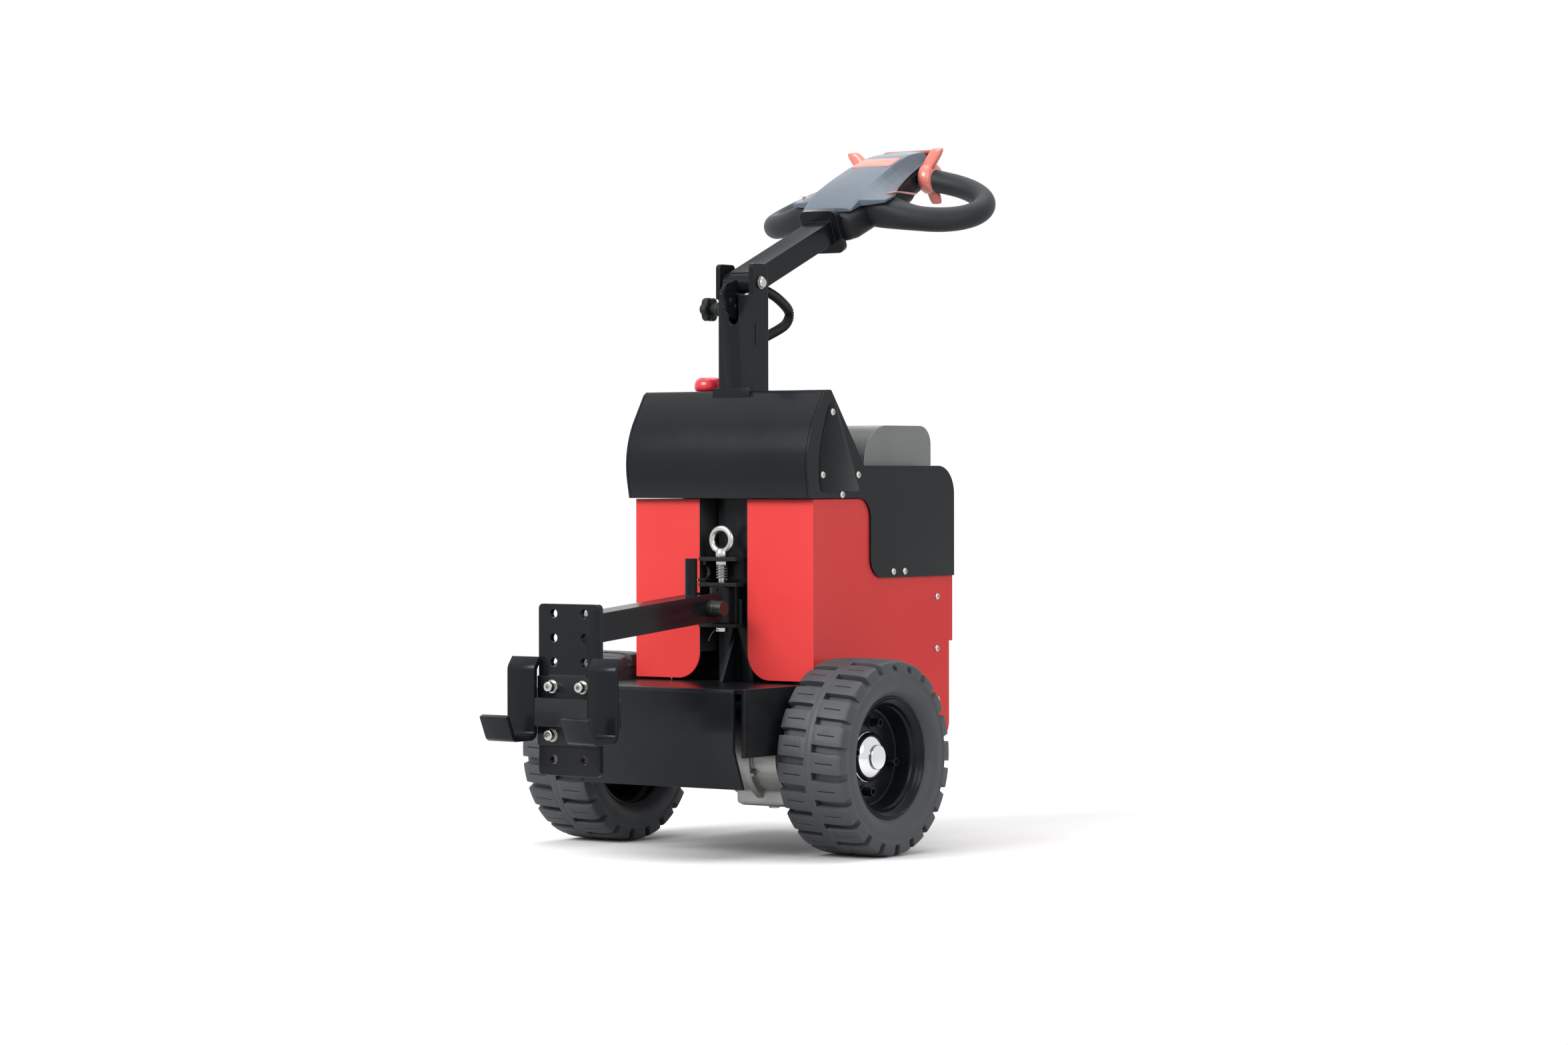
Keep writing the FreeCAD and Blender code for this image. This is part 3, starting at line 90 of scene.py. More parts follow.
# %% [markdown]
# ## Small tools for meshes
#
# Every piece ends as a plain mesh with its object at the origin, so that a pattern in Object
# coordinates stays put. Smooth shading with sharp edges from 35 degrees keeps round parts round
# and folded sheet crisp.

# %% Objects and shading
def add_object(name, mesh, material=None):
    piece = bpy.data.objects.new(name, mesh)
    bpy.context.scene.collection.objects.link(piece)
    if material:
        mesh.materials.clear()
        mesh.materials.append(material)
    return piece


def shade(mesh, angle=35):
    for face in mesh.polygons:
        face.use_smooth = True
    mesh.set_sharp_from_angle(angle=math.radians(angle))


def evaluated(piece):
    """The mesh that an object's modifiers make."""
    graph = bpy.context.evaluated_depsgraph_get()
    return bpy.data.meshes.new_from_object(piece.evaluated_get(graph), depsgraph=graph)


def settle(piece):
    """Turn modifiers into plain mesh."""
    mesh = evaluated(piece)
    old = piece.data
    piece.modifiers.clear()
    piece.data = mesh
    mesh.name = piece.name
    if old.users == 0:
        bpy.data.meshes.remove(old)
    return piece


def attach(piece, body, slot, *replaced):
    """Say which body carries a piece and which solids it stands for; slot, the name of its finish, is
    not used.
    """
    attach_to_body(piece, body)
    if replaced:
        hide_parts(*replaced)
    print(piece.name, "rides on", body, "with", len(piece.data.polygons), "faces")
    return piece


# %% [markdown]
# ## Small tools for materials
#
# Real paint, rubber and plastic differ most in how rough they are and in the fine bumps that catch
# the light. Two noise textures do that here: a broad one varies the roughness, as handling and
# dust do, and a fine one drives the bump. Edges rub paler with use, and Pointiness finds them.

# %% A material with grain
def grained(name, colour, roughness, spread=0.06, grain=300.0, bump=0.02, broad=9.0, second=None,
            wear=0.16, **sockets):
    """Principled material: broad colour and roughness patches, a fine bump, rubbed edges."""
    material = bpy.data.materials.new(name)
    material.use_nodes = True
    tree = material.node_tree
    shader = tree.nodes["Principled BSDF"]
    place = tree.nodes.new("ShaderNodeTexCoord")
    patches = tree.nodes.new("ShaderNodeTexNoise")
    patches.inputs["Scale"].default_value = broad
    patches.inputs["Detail"].default_value = 6.0
    patches.inputs["Roughness"].default_value = 0.62
    tree.links.new(place.outputs["Object"], patches.inputs["Vector"])
    rough = tree.nodes.new("ShaderNodeMapRange")
    rough.inputs["From Min"].default_value = 0.3
    rough.inputs["From Max"].default_value = 0.7
    rough.inputs["To Min"].default_value = roughness - spread
    rough.inputs["To Max"].default_value = roughness + spread
    tree.links.new(patches.outputs["Fac"], rough.inputs["Value"])
    tree.links.new(rough.outputs["Result"], shader.inputs["Roughness"])
    tint = tree.nodes.new("ShaderNodeMix")
    tint.data_type = "RGBA"
    tint.inputs["A"].default_value = (*colour, 1)
    tint.inputs["B"].default_value = (*(second or [0.82 * part for part in colour]), 1)
    tree.links.new(patches.outputs["Fac"], tint.inputs["Factor"])
    shape_now = tree.nodes.new("ShaderNodeNewGeometry")
    edge = tree.nodes.new("ShaderNodeMapRange")
    edge.inputs["From Min"].default_value = 0.53
    edge.inputs["From Max"].default_value = 0.66
    edge.inputs["To Max"].default_value = 1.0
    tree.links.new(shape_now.outputs["Pointiness"], edge.inputs["Value"])
    rubbed = tree.nodes.new("ShaderNodeMath")
    rubbed.operation = "MULTIPLY"
    tree.links.new(edge.outputs["Result"], rubbed.inputs[0])
    tree.links.new(patches.outputs["Fac"], rubbed.inputs[1])
    worn = tree.nodes.new("ShaderNodeMix")
    worn.data_type = "RGBA"
    worn.inputs["B"].default_value = (*[part + wear * (0.5 - part) for part in colour], 1)
    tree.links.new(rubbed.outputs["Value"], worn.inputs["Factor"])
    tree.links.new(tint.outputs["Result"], worn.inputs["A"])
    tree.links.new(worn.outputs["Result"], shader.inputs["Base Color"])
    fine = tree.nodes.new("ShaderNodeTexNoise")
    fine.inputs["Scale"].default_value = grain
    fine.inputs["Detail"].default_value = 3.0
    tree.links.new(place.outputs["Object"], fine.inputs["Vector"])
    relief = tree.nodes.new("ShaderNodeBump")
    relief.inputs["Strength"].default_value = bump
    relief.inputs["Distance"].default_value = 0.001
    tree.links.new(fine.outputs["Fac"], relief.inputs["Height"])
    tree.links.new(relief.outputs["Normal"], shader.inputs["Normal"])
    for socket, number in sockets.items():
        shader.inputs[socket.replace("_", " ")].default_value = number
    return material


# %% [markdown]
# ## Finishes
#
# The machine has few finishes: stoved gloss paint in black and red, moulded plastics, rubber,
# bright zinc, chrome, a bare metal cover and a cast aluminium gear case. Each is one function
# call, so that the numbers stand side by side and can be compared.

# %% Make the finishes
finish = {
    "black_paint": grained("gloss_black_paint", (0.008, 0.0100, 0.0125), 0.24, 0.06, 420, 0.02,
                           Coat_Weight=0.08, Coat_Roughness=0.10, Specular_IOR_Level=0.10),
    "red_paint": grained("satin_red_paint", (0.74, 0.045, 0.042), 0.38, 0.05, 520, 0.025,
                         second=(0.71, 0.040, 0.038), Coat_Weight=0.08, Coat_Roughness=0.22,
                         Specular_IOR_Level=0.15),
    "bare_steel": grained("bare_cover_metal", (0.20, 0.207, 0.205), 0.42, 0.08, 700, 0.05,
                          Metallic=0.6),
    "battery_case": grained("battery_case_plastic", (0.03, 0.03, 0.032), 0.55, 0.05, 500, 0.2,
                             Specular_IOR_Level=0.2),
    "zinc_steel": grained("bright_zinc", (0.55, 0.55, 0.53), 0.26, 0.08, 500, 0.05, broad=30,
                          second=(0.42, 0.42, 0.40), Metallic=1.0),
    "red_plastic": grained("stop_button_red", (0.72, 0.02, 0.035), 0.28, 0.05, 500, 0.03,
                           Coat_Weight=0.3),
    "black_plastic": grained("moulded_black_plastic", (0.015, 0.0165, 0.0185), 0.46, 0.06, 900, 0.3,
                              Specular_IOR_Level=0.15),
    "conduit_plastic": grained("conduit_black", (0.016, 0.017, 0.019), 0.42, 0.05, 400, 0.05,
                                Specular_IOR_Level=0.2),
    "cast_aluminium": grained("cast_aluminium", (0.46, 0.455, 0.44), 0.48, 0.1, 420, 0.35,
                              broad=22, second=(0.33, 0.33, 0.32), Metallic=0.85),
    "grey_plastic": grained("grey_blue_cover", (0.125, 0.155, 0.19), 0.40, 0.06, 800, 0.15,
                            second=(0.11, 0.135, 0.165), Coat_Weight=0.05, Specular_IOR_Level=0.2),
    "grip_rubber": grained("soft_touch_rubber", (0.022, 0.026, 0.030), 0.52, 0.06, 900, 0.2,
                            Specular_IOR_Level=0.2),
    "salmon_plastic": grained("salmon_film", (0.80, 0.235, 0.185), 0.30, 0.06, 60, 0.12,
                              second=(0.74, 0.19, 0.155), Coat_Weight=0.4),
    "tyre": grained("tyre_rubber", (0.030, 0.033, 0.038), 0.56, 0.10, 260, 0.35, broad=26,
                    second=(0.056, 0.061, 0.070)),
    "chrome": grained("chrome", (0.78, 0.79, 0.80), 0.045, 0.02, 200, 0.0, Metallic=1.0),
}
finish["oiled_steel"] = grained("oiled_steel", (0.030, 0.031, 0.033), 0.36, 0.08, 500, 0.08,
                                second=(0.05, 0.05, 0.05), Metallic=0.6)
finish["gauge_green"] = grained("gauge_green", (0.05, 0.42, 0.12), 0.35, 0.04, 300, 0.02)
finish["paddle_red"] = grained("dark_red_paddle", (0.30, 0.010, 0.014), 0.34, 0.05, 500, 0.03)
finish["salmon_label"] = grained("salmon_label", (0.80, 0.24, 0.19), 0.42, 0.04, 60, 0.03,
                                 second=(0.76, 0.21, 0.165))
finish["lanyard"] = grained("lanyard_cord", (0.22, 0.10, 0.045), 0.7, 0.05, 900, 0.3)
print(len(finish), "finishes")

# %% [markdown]
# ## Cable conduit
#
# A ribbed plastic conduit carries the control cables from the arm down into the column. It hangs
# in one tight bend, so its line is a smooth spline through the same few points as the solid, and
# the ribs are rings along that line. Geometry Nodes vary the radius from point to point, which is
# simpler than placing each rib.

# %% A helper for node trees
def node_tree(name, inputs):
    tree = bpy.data.node_groups.new(name, "GeometryNodeTree")
    for label, kind in inputs:
        tree.interface.new_socket(label, in_out="INPUT", socket_type="NodeSocket" + kind)
    tree.interface.new_socket("Geometry", in_out="OUTPUT", socket_type="NodeSocketGeometry")
    return tree, tree.nodes.new("NodeGroupInput"), tree.nodes.new("NodeGroupOutput")


def add_node(tree, kind, settings=None, **links):
    """A node with plain settings, and its inputs linked or set by name."""
    made = tree.nodes.new(kind)
    for key, setting in (settings or {}).items():
        setattr(made, key, setting)
    for label, source in links.items():
        socket = made.inputs[int(label[1:])] if label[0] == "_" else made.inputs[label.replace("_", " ")]
        if isinstance(source, bpy.types.NodeSocket):
            tree.links.new(source, socket)
        else:
            socket.default_value = source
    return made


def run_tree(name, tree, base, material, **values):
    """Evaluate a tree on an object or an empty mesh and keep the result as a plain piece."""
    holder = base or add_object(name + "_holder", bpy.data.meshes.new(name + "_holder"))
    modifier = holder.modifiers.new("nodes", "NODES")
    modifier.node_group = tree
    for item in tree.interface.items_tree:
        if item.item_type == "SOCKET" and item.in_out == "INPUT":
            label = item.name.replace(" ", "_")
            if item.socket_type == "NodeSocketMaterial":
                modifier[item.identifier] = material
            elif label in values:
                modifier[item.identifier] = values[label]
    mesh = evaluated(holder)
    bpy.data.objects.remove(holder)
    mesh.name = name
    piece = add_object(name, mesh, material)
    return piece


# %% The conduit's line
CONDUIT_ROUTE = [(0, 0.06126, 0.72611), (0, 0.085, 0.72067), (0, 0.110, 0.709), (0, 0.127, 0.697),
                 (0, 0.119, 0.6815), (0, 0.099, 0.673), (0, 0.076, 0.6652), (0, 0.0522, 0.65672)]


def spline_object(name, route):
    """A NURBS spline whose control points are the route."""
    curve = bpy.data.curves.new(name, "CURVE")
    curve.dimensions = "3D"
    curve.resolution_u = 24
    line = curve.splines.new("NURBS")
    line.points.add(len(route) - 1)
    for point, place in zip(line.points, route):
        point.co = (*place, 1)
    line.order_u = 3
    line.use_endpoint_u = True
    made = bpy.data.objects.new(name, curve)
    bpy.context.scene.collection.objects.link(made)
    return made


conduit_line = spline_object("conduit_line", CONDUIT_ROUTE)
line_mesh = evaluated(conduit_line)
conduit_path = [vertex.co.copy() for vertex in line_mesh.vertices]
conduit_length = sum((b - a).length for a, b in zip(conduit_path, conduit_path[1:]))
print("conduit", round(conduit_length, 4), "m")

# %% Ribs along the conduit
RING_SIDES = 20
conduit_tree, given, result = node_tree("ribbed_tube", [
    ("Geometry", "Geometry"), ("Radius", "Float"), ("Rib Pitch", "Float"), ("Length", "Float"),
    ("Rib Depth", "Float"), ("Material", "Material")])
steps = add_node(conduit_tree, "ShaderNodeMath", {"operation": "DIVIDE"},
                 _0=given.outputs["Length"], _1=given.outputs["Rib Pitch"])
steps = add_node(conduit_tree, "ShaderNodeMath", {"operation": "MULTIPLY"}, _0=steps.outputs[0], _1=4.0)
line = add_node(conduit_tree, "GeometryNodeResampleCurve", Curve=given.outputs["Geometry"],
                Count=steps.outputs[0])
number = add_node(conduit_tree, "GeometryNodeInputIndex")
phase = add_node(conduit_tree, "ShaderNodeMath", {"operation": "MULTIPLY"},
                 _0=number.outputs[0], _1=math.pi / 2)
wave = add_node(conduit_tree, "ShaderNodeMath", {"operation": "SINE"}, _0=phase.outputs[0])
dip_in = add_node(conduit_tree, "ShaderNodeMath", {"operation": "MULTIPLY_ADD"},
                  _0=wave.outputs[0], _1=given.outputs["Rib Depth"], _2=given.outputs["Radius"])
ring = add_node(conduit_tree, "GeometryNodeCurvePrimitiveCircle", Resolution=RING_SIDES, Radius=1.0)
tube = add_node(conduit_tree, "GeometryNodeCurveToMesh", Curve=line.outputs[0],
                Profile_Curve=ring.outputs[0], Scale=dip_in.outputs[0])
tube.inputs["Fill Caps"].default_value = True
tube = add_node(conduit_tree, "GeometryNodeSetMaterial", Geometry=tube.outputs[0],
                Material=given.outputs["Material"])
conduit_tree.links.new(tube.outputs[0], result.inputs[0])
conduit = run_tree("conduit_ribbed", conduit_tree, conduit_line, finish["conduit_plastic"],
                   Radius=6.1 * MM, Rib_Pitch=2.7 * MM, Length=conduit_length, Rib_Depth=0.6 * MM)
shade(conduit.data, 60)
places = [vertex.co for vertex in conduit.data.vertices]
print("conduit has", len(conduit.data.polygons), "faces")
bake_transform(conduit)
if "conduit" in nodes:
    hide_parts("conduit")

# %% [markdown]
# ## Floor and light
#
# A pale floor and a few large soft lamps show shape without hard shadows. A white background could
# come from more light, but that would burn out the paint. Light Path does it here: floor and world
# are white to the eye, and to the rays that a mirror or a glass sends out, and greyer as a source
# of light. The floor fades to plain white away from the machine and keeps the shadow near it.

# %% Rays that show the background
def seen_directly(tree):
    """1 where the eye, a mirror or a glass looks at the background, 0 where it only gives light."""
    path_kind = add_node(tree, "ShaderNodeLightPath")
    mirror = add_node(tree, "ShaderNodeMath", {"operation": "MAXIMUM"},
                      _0=path_kind.outputs["Is Camera Ray"], _1=path_kind.outputs["Is Glossy Ray"])
    glass = add_node(tree, "ShaderNodeMath", {"operation": "MAXIMUM"},
                     _0=mirror.outputs[0], _1=path_kind.outputs["Is Transmission Ray"])
    return glass.outputs[0]


# %% Floor
floor_mesh = bpy.data.meshes.new("floor")
floor_work = bmesh.new()
bmesh.ops.create_circle(floor_work, cap_ends=True, radius=3.4, segments=64)
floor_work.to_mesh(floor_mesh)
floor_work.free()
floor_finish = bpy.data.materials.new("pale_floor")
floor_finish.use_nodes = True
paper = floor_finish.node_tree
paper_shader = paper.nodes["Principled BSDF"]
paper_shader.inputs["Roughness"].default_value = 0.8
paper_shader.inputs["Specular IOR Level"].default_value = 0.1
paper_place = paper.nodes.new("ShaderNodeTexCoord")
reach = add_node(paper, "ShaderNodeVectorMath", {"operation": "LENGTH"},
                 _0=paper_place.outputs["Object"])
fade = add_node(paper, "ShaderNodeMapRange", {"interpolation_type": "SMOOTHSTEP"},
                Value=reach.outputs["Value"])
fade.inputs["From Min"].default_value = 0.55
fade.inputs["From Max"].default_value = 1.9
to_eye = seen_directly(paper)
seen = add_node(paper, "ShaderNodeMix", {"data_type": "RGBA"}, Factor=to_eye)
seen.inputs["A"].default_value = (0.42, 0.425, 0.43, 1)
seen.inputs["B"].default_value = (0.90, 0.90, 0.905, 1)
paper.links.new(seen.outputs["Result"], paper_shader.inputs["Base Color"])
white = add_node(paper, "ShaderNodeEmission", Strength=to_eye)
blend = add_node(paper, "ShaderNodeMixShader", _0=fade.outputs["Result"],
                 _1=paper_shader.outputs[0], _2=white.outputs[0])
paper.links.new(blend.outputs[0], paper.nodes["Material Output"].inputs["Surface"])
floor = add_object("floor", floor_mesh, floor_finish)
print("floor is", round(2 * max(corner.co.x for corner in floor_mesh.vertices), 2), "m across")

# %% World
world = bpy.data.worlds.new("studio")
bpy.context.scene.world = world
world.use_nodes = True
sky = world.node_tree
plain = sky.nodes["Background"]
plain.inputs["Color"].default_value = (1, 1, 1, 1)
level = add_node(sky, "ShaderNodeMapRange", Value=seen_directly(sky))
level.inputs["To Min"].default_value = 0.60
sky.links.new(level.outputs["Result"], plain.inputs["Strength"])
print(world.name, "world, strength 1 where it is seen")


# %% Lamps
def lamp(name, place, aim, width, height, power):
    light = bpy.data.lights.new(name, "AREA")
    light.shape = "RECTANGLE"
    light.size, light.size_y, light.energy = width, height, power
    made = bpy.data.objects.new(name, light)
    bpy.context.scene.collection.objects.link(made)
    made.matrix_world = (Matrix.Translation(place)
                         @ (Vector(aim) - Vector(place)).to_track_quat("-Z", "Y").to_matrix().to_4x4())
    return made


lamp("key", (-1.2, -4.2, 3.0), (0, 0, 0.45), 3.0, 2.0, 238)
lamp("fill", (3.6, -1.4, 1.9), (0, 0, 0.45), 2.0, 1.6, 44)
lamp("top", (0, 0.6, 3.6), (0, 0, 0.4), 3.0, 3.0, 60)
lamp("back", (-1.8, 3.4, 2.4), (0, 0, 0.5), 2.0, 1.4, 14)
bpy.context.scene.view_settings.view_transform = "Standard"
print(len(bpy.data.lights), "lamps")

# %% [markdown]
# ## Turned shapes
#
# Tyres, rims, knobs and bolts are all made on a lathe or in a round mould. A Screw modifier could
# turn an outline too, but writing the rings directly gives clean quads and outward faces.

# %% A lathe about any axis
TURNS = {"X": Matrix.Identity(3), "-X": Matrix.Rotation(math.pi, 3, "Z"),
         "Y": Matrix.Rotation(math.pi / 2, 3, "Z"), "-Y": Matrix.Rotation(-math.pi / 2, 3, "Z"),
         "Z": Matrix.Rotation(-math.pi / 2, 3, "Y"), "-Z": Matrix.Rotation(math.pi / 2, 3, "Y")}


def lathe(name, outline, sides=48, axis="X", at=(0, 0, 0), closed=False, turn=None):
    """Turn (along, radius) points, in millimetres, about an axis through a point in metres."""
    work = bmesh.new()
    frame_turn = turn or TURNS[axis]
    rings = []
    for along, radius in outline:
        if radius < 1e-6:
            rings.append([work.verts.new(frame_turn @ Vector((along * MM, 0, 0)))])
            continue
        rings.append([work.verts.new(frame_turn @ Vector((
            along * MM, radius * MM * math.cos(2 * math.pi * side / sides),
            radius * MM * math.sin(2 * math.pi * side / sides)))) for side in range(sides)])
    pairs = list(zip(rings, rings[1:] + rings[:1]))
    for near, far in pairs if closed else pairs[:-1]:
        for side in range(sides):
            after = (side + 1) % sides
            loop = [near[side % len(near)], near[after % len(near)], far[after % len(far)],
                    far[side % len(far)]]
            loop = list(dict.fromkeys(loop))
            if len(loop) > 2:
                work.faces.new(loop)
    bmesh.ops.recalc_face_normals(work, faces=work.faces)
    bmesh.ops.translate(work, verts=work.verts, vec=Vector(at))
    mesh = bpy.data.meshes.new(name)
    work.to_mesh(mesh)
    work.free()
    return mesh


def joined(name, meshes, material):
    """One mesh from several, each removed afterwards."""
    work = bmesh.new()
    for mesh in meshes:
        work.from_mesh(mesh)
        bpy.data.meshes.remove(mesh)
    whole = bpy.data.meshes.new(name)
    work.to_mesh(whole)
    work.free()
    return add_object(name, whole, material)


# %% [markdown]
# ## Drive tyres
#
# The tyres are solid rubber from a two-part mould: a smooth sidewall with one raised ring, and two
# rows of slanted lugs, half a pitch apart, each with a short cut in its top. The lug is made once
# and Geometry Nodes repeat it round the tyre, because 44 hand-made copies could never be changed.

# %% One lug
LUGS = 22
LUG_HALF = math.radians(5.85)
SLANT = 4.6 / 125 / 42.5
LUG_TOP = [(5.0, 125.0), (12.0, 125.0), (17.0, 124.9), (28.0, 124.8), (38.0, 124.3), (44.0, 123.3),
           (46.6, 122.5), (48.0, 121.3), (48.7, 119.0), (49.4, 114.0), (49.9, 109.6), (50.0, 108.4)]
LUG_FOOT = [(5.0, 114.0), (12.0, 114.0), (17.0, 114.0), (28.0, 114.0), (38.0, 114.0), (39.0, 113.6),
            (40.0, 113.0), (41.5, 112.0), (43.0, 111.0), (45.0, 109.5), (47.0, 108.0), (48.0, 107.0)]
STATIONS = [-1, -0.5, -0.045, 0.045, 0.5, 1]


def lug_mesh(name):
    work = bmesh.new()

    def corner(point, station, draft=0.0):
        along, radius = point
        reach = (along - 5.0) / 42.5
        angle = station * (LUG_HALF + draft) + 42.5 * SLANT * (reach - 0.42 * reach * reach)
        return work.verts.new((along * MM, -radius * MM * math.sin(angle),
                               radius * MM * math.cos(angle)))

    top = [[corner(point, station) for station in STATIONS] for point in LUG_TOP]
    foot = [[corner(point, station, 0.006) for station in STATIONS] for point in LUG_FOOT]
    cut_cells = []
    last = len(STATIONS) - 1
    for row in range(len(LUG_TOP) - 1):
        for column in range(last):
            cell = work.faces.new((top[row][column], top[row + 1][column],
                                   top[row + 1][column + 1], top[row][column + 1]))
            if column == 2 and LUG_TOP[row][0] >= 12 and LUG_TOP[row + 1][0] <= 38:
                cut_cells.append(cell)
        work.faces.new((top[row][0], foot[row][0], foot[row + 1][0], top[row + 1][0]))
        work.faces.new((top[row][last], top[row + 1][last], foot[row + 1][last], foot[row][last]))
    for row in (0, len(LUG_TOP) - 1):
        for column in range(last):
            work.faces.new((top[row][column], top[row][column + 1],
                            foot[row][column + 1], foot[row][column]))
    sunk = bmesh.ops.extrude_face_region(work, geom=cut_cells)
    for item in sunk["geom"]:
        if isinstance(item, bmesh.types.BMVert):
            item.co.y *= 0.975
            item.co.z *= 0.975
    bmesh.ops.delete(work, geom=cut_cells, context="FACES_ONLY")
    bmesh.ops.recalc_face_normals(work, faces=work.faces)
    rims = [edge for edge in work.edges if len(edge.link_faces) == 2
            and edge.calc_face_angle(0) > math.radians(50)
            and all(vertex.co.yz.length > 0.1092 for vertex in edge.verts)]
    bmesh.ops.bevel(work, geom=rims, offset=0.45 * MM, segments=2, affect="EDGES", profile=0.6,
                    clamp_overlap=True)
    mesh = bpy.data.meshes.new(name)
    work.to_mesh(mesh)
    work.free()
    return mesh


lug = add_object("lug", lug_mesh("lug"))
print("a lug has", len(lug.data.polygons), "faces")

# %% The tree that repeats it
lug_tree, given, result = node_tree("lugged_tyre", [
    ("Geometry", "Geometry"), ("Lug", "Object"), ("Count", "Int"), ("Material", "Material")])
lug_info = add_node(lug_tree, "GeometryNodeObjectInfo", Object=given.outputs["Lug"])
spots = add_node(lug_tree, "GeometryNodeMeshLine", Count=given.outputs["Count"])
spots.inputs["Offset"].default_value = (0, 0, 0)
number = add_node(lug_tree, "GeometryNodeInputIndex")
pitch = add_node(lug_tree, "ShaderNodeMath", {"operation": "DIVIDE"}, _0=2 * math.pi,
                 _1=given.outputs["Count"])
rows = []
for lead, sense, half_turn in ((0.5, 1, 0), (0.0, -1, math.pi)):
    shifted = add_node(lug_tree, "ShaderNodeMath", {"operation": "ADD"}, _0=number.outputs[0], _1=lead)
    angle = add_node(lug_tree, "ShaderNodeMath", {"operation": "MULTIPLY"}, _0=shifted.outputs[0],
                     _1=pitch.outputs[0])
    angle = add_node(lug_tree, "ShaderNodeMath", {"operation": "MULTIPLY"}, _0=angle.outputs[0],
                     _1=float(sense))
    spin = add_node(lug_tree, "ShaderNodeCombineXYZ", X=angle.outputs[0], Z=half_turn)
    placed = add_node(lug_tree, "GeometryNodeInstanceOnPoints", Points=spots.outputs[0],
                      Instance=lug_info.outputs["Geometry"], Rotation=spin.outputs[0])
    rows.append(placed.outputs[0])
both = add_node(lug_tree, "GeometryNodeJoinGeometry")
for source in (given.outputs["Geometry"], *rows):
    lug_tree.links.new(source, both.inputs[0])
real = add_node(lug_tree, "GeometryNodeRealizeInstances", Geometry=both.outputs[0])
done = add_node(lug_tree, "GeometryNodeSetMaterial", Geometry=real.outputs[0],
                Material=given.outputs["Material"])
lug_tree.links.new(done.outputs[0], result.inputs[0])

# %% Both tyres
WHEELS = {"left": (-0.206, -1), "right": (0.206, 1)}
AXLE_HEIGHT = 0.125
SIDEWALL = [(32.0, 72.2), (38.5, 77.6), (41.0, 79.4), (44.6, 82.4), (47.2, 85.6), (48.9, 89.6),
            (49.6, 93.5), (49.8, 97.0), (49.6, 101.0), (49.2, 104.6), (49.4, 106.4), (49.9, 107.4),
            (50.0, 108.6), (49.4, 109.6), (48.0, 110.4), (46.0, 111.6), (42.0, 114.6), (39.0, 116.6),
            (36.0, 117.0), (5.5, 117.0), (5.5, 124.8), (1.1, 124.9), (0.6, 125.0)]
CARCASS = SIDEWALL + [(-along, radius) for along, radius in reversed(SIDEWALL)]


def to_wheel(mesh, side):
    """Carry a right-hand wheel mesh, made at the origin, to its axle."""
    offset, sense = WHEELS[side]
    mesh.transform(Matrix.Translation((offset, 0, AXLE_HEIGHT))
                   @ Matrix.Rotation(0 if sense > 0 else math.pi, 4, "Z"))


for side in WHEELS:
    carcass = add_object("carcass", lathe("carcass", CARCASS, 176, closed=True))
    tyre = run_tree("tyre_moulded_" + side, lug_tree, carcass, finish["tyre"], Lug=lug, Count=LUGS)
    to_wheel(tyre.data, side)
    shade(tyre.data, 32)
    attach(tyre, "wheel_" + side, "tyre", "tyre_" + side)
bpy.data.objects.remove(lug)

# %% [markdown]
# ## What repeats
#
# Screws, bolts, webs and gauge bars are the same shape many times over. Copies could be placed one
# by one in a loop, but a small node tree says it once: one tree sets a shape on a list of points,
# and one sets it in a ring. Screws get a chance turn from a fixed seed, as a fitter leaves them.

# %% Copies on points
points_tree, given, result = node_tree("copies_on_points", [
    ("Geometry", "Geometry"), ("Shape", "Object"), ("Turn", "Vector"), ("Spin", "Float"),
    ("Seed", "Int"), ("Material", "Material")])
shape_info = add_node(points_tree, "GeometryNodeObjectInfo", Object=given.outputs["Shape"])
chance = add_node(points_tree, "FunctionNodeRandomValue", {"data_type": "FLOAT"})
points_tree.links.new(given.outputs["Seed"], chance.inputs["Seed"])
points_tree.links.new(given.outputs["Spin"], chance.inputs[3])
about = add_node(points_tree, "ShaderNodeCombineXYZ", X=chance.outputs[1])
spun = add_node(points_tree, "FunctionNodeRotateEuler", {"space": "LOCAL", "rotation_type": "EULER"},
                Rotation=given.outputs["Turn"])
points_tree.links.new(about.outputs[0], spun.inputs["Rotate By"])
placed = add_node(points_tree, "GeometryNodeInstanceOnPoints", Points=given.outputs["Geometry"],
                  Instance=shape_info.outputs["Geometry"], Rotation=spun.outputs[0])
real = add_node(points_tree, "GeometryNodeRealizeInstances", Geometry=placed.outputs[0])
done = add_node(points_tree, "GeometryNodeSetMaterial", Geometry=real.outputs[0],
                Material=given.outputs["Material"])
points_tree.links.new(done.outputs[0], result.inputs[0])
AIMS = {"X": (0, 0, 0), "-X": (0, 0, math.pi), "Y": (0, 0, math.pi / 2),
        "-Y": (0, 0, -math.pi / 2), "Z": (0, -math.pi / 2, 0)}


def on_places(name, shape, places, aim, material, spin, seed):
    """Run the tree on one point for each place."""
    base = bpy.data.meshes.new(name + "_points")
    base.from_pydata([tuple(place) for place in places], [], [])
    return run_tree(name, points_tree, add_object(name + "_points", base), material,
                    Shape=shape, Turn=AIMS[aim], Spin=spin, Seed=seed)


def copies(name, shape, places, aim, body, slot, seed=1):
    """Copies of a shape that points along +X, one for each place, turned towards an axis."""
    piece = on_places(name, shape, places, aim, finish[slot], 2 * math.pi, seed)
    shade(piece.data, 38)
    return attach(piece, body, slot)


def repeated(name, mesh, places, aim="X"):
    """Plain copies of a mesh, all turned the same way, as one mesh to be joined with others."""
    shape = add_object(name + "_shape", mesh)
    piece = on_places(name, shape, places, aim, None, 0.0, 0)
    whole = piece.data
    for made in (piece, shape):
        bpy.data.objects.remove(made)
    bpy.data.meshes.remove(mesh)
    return whole


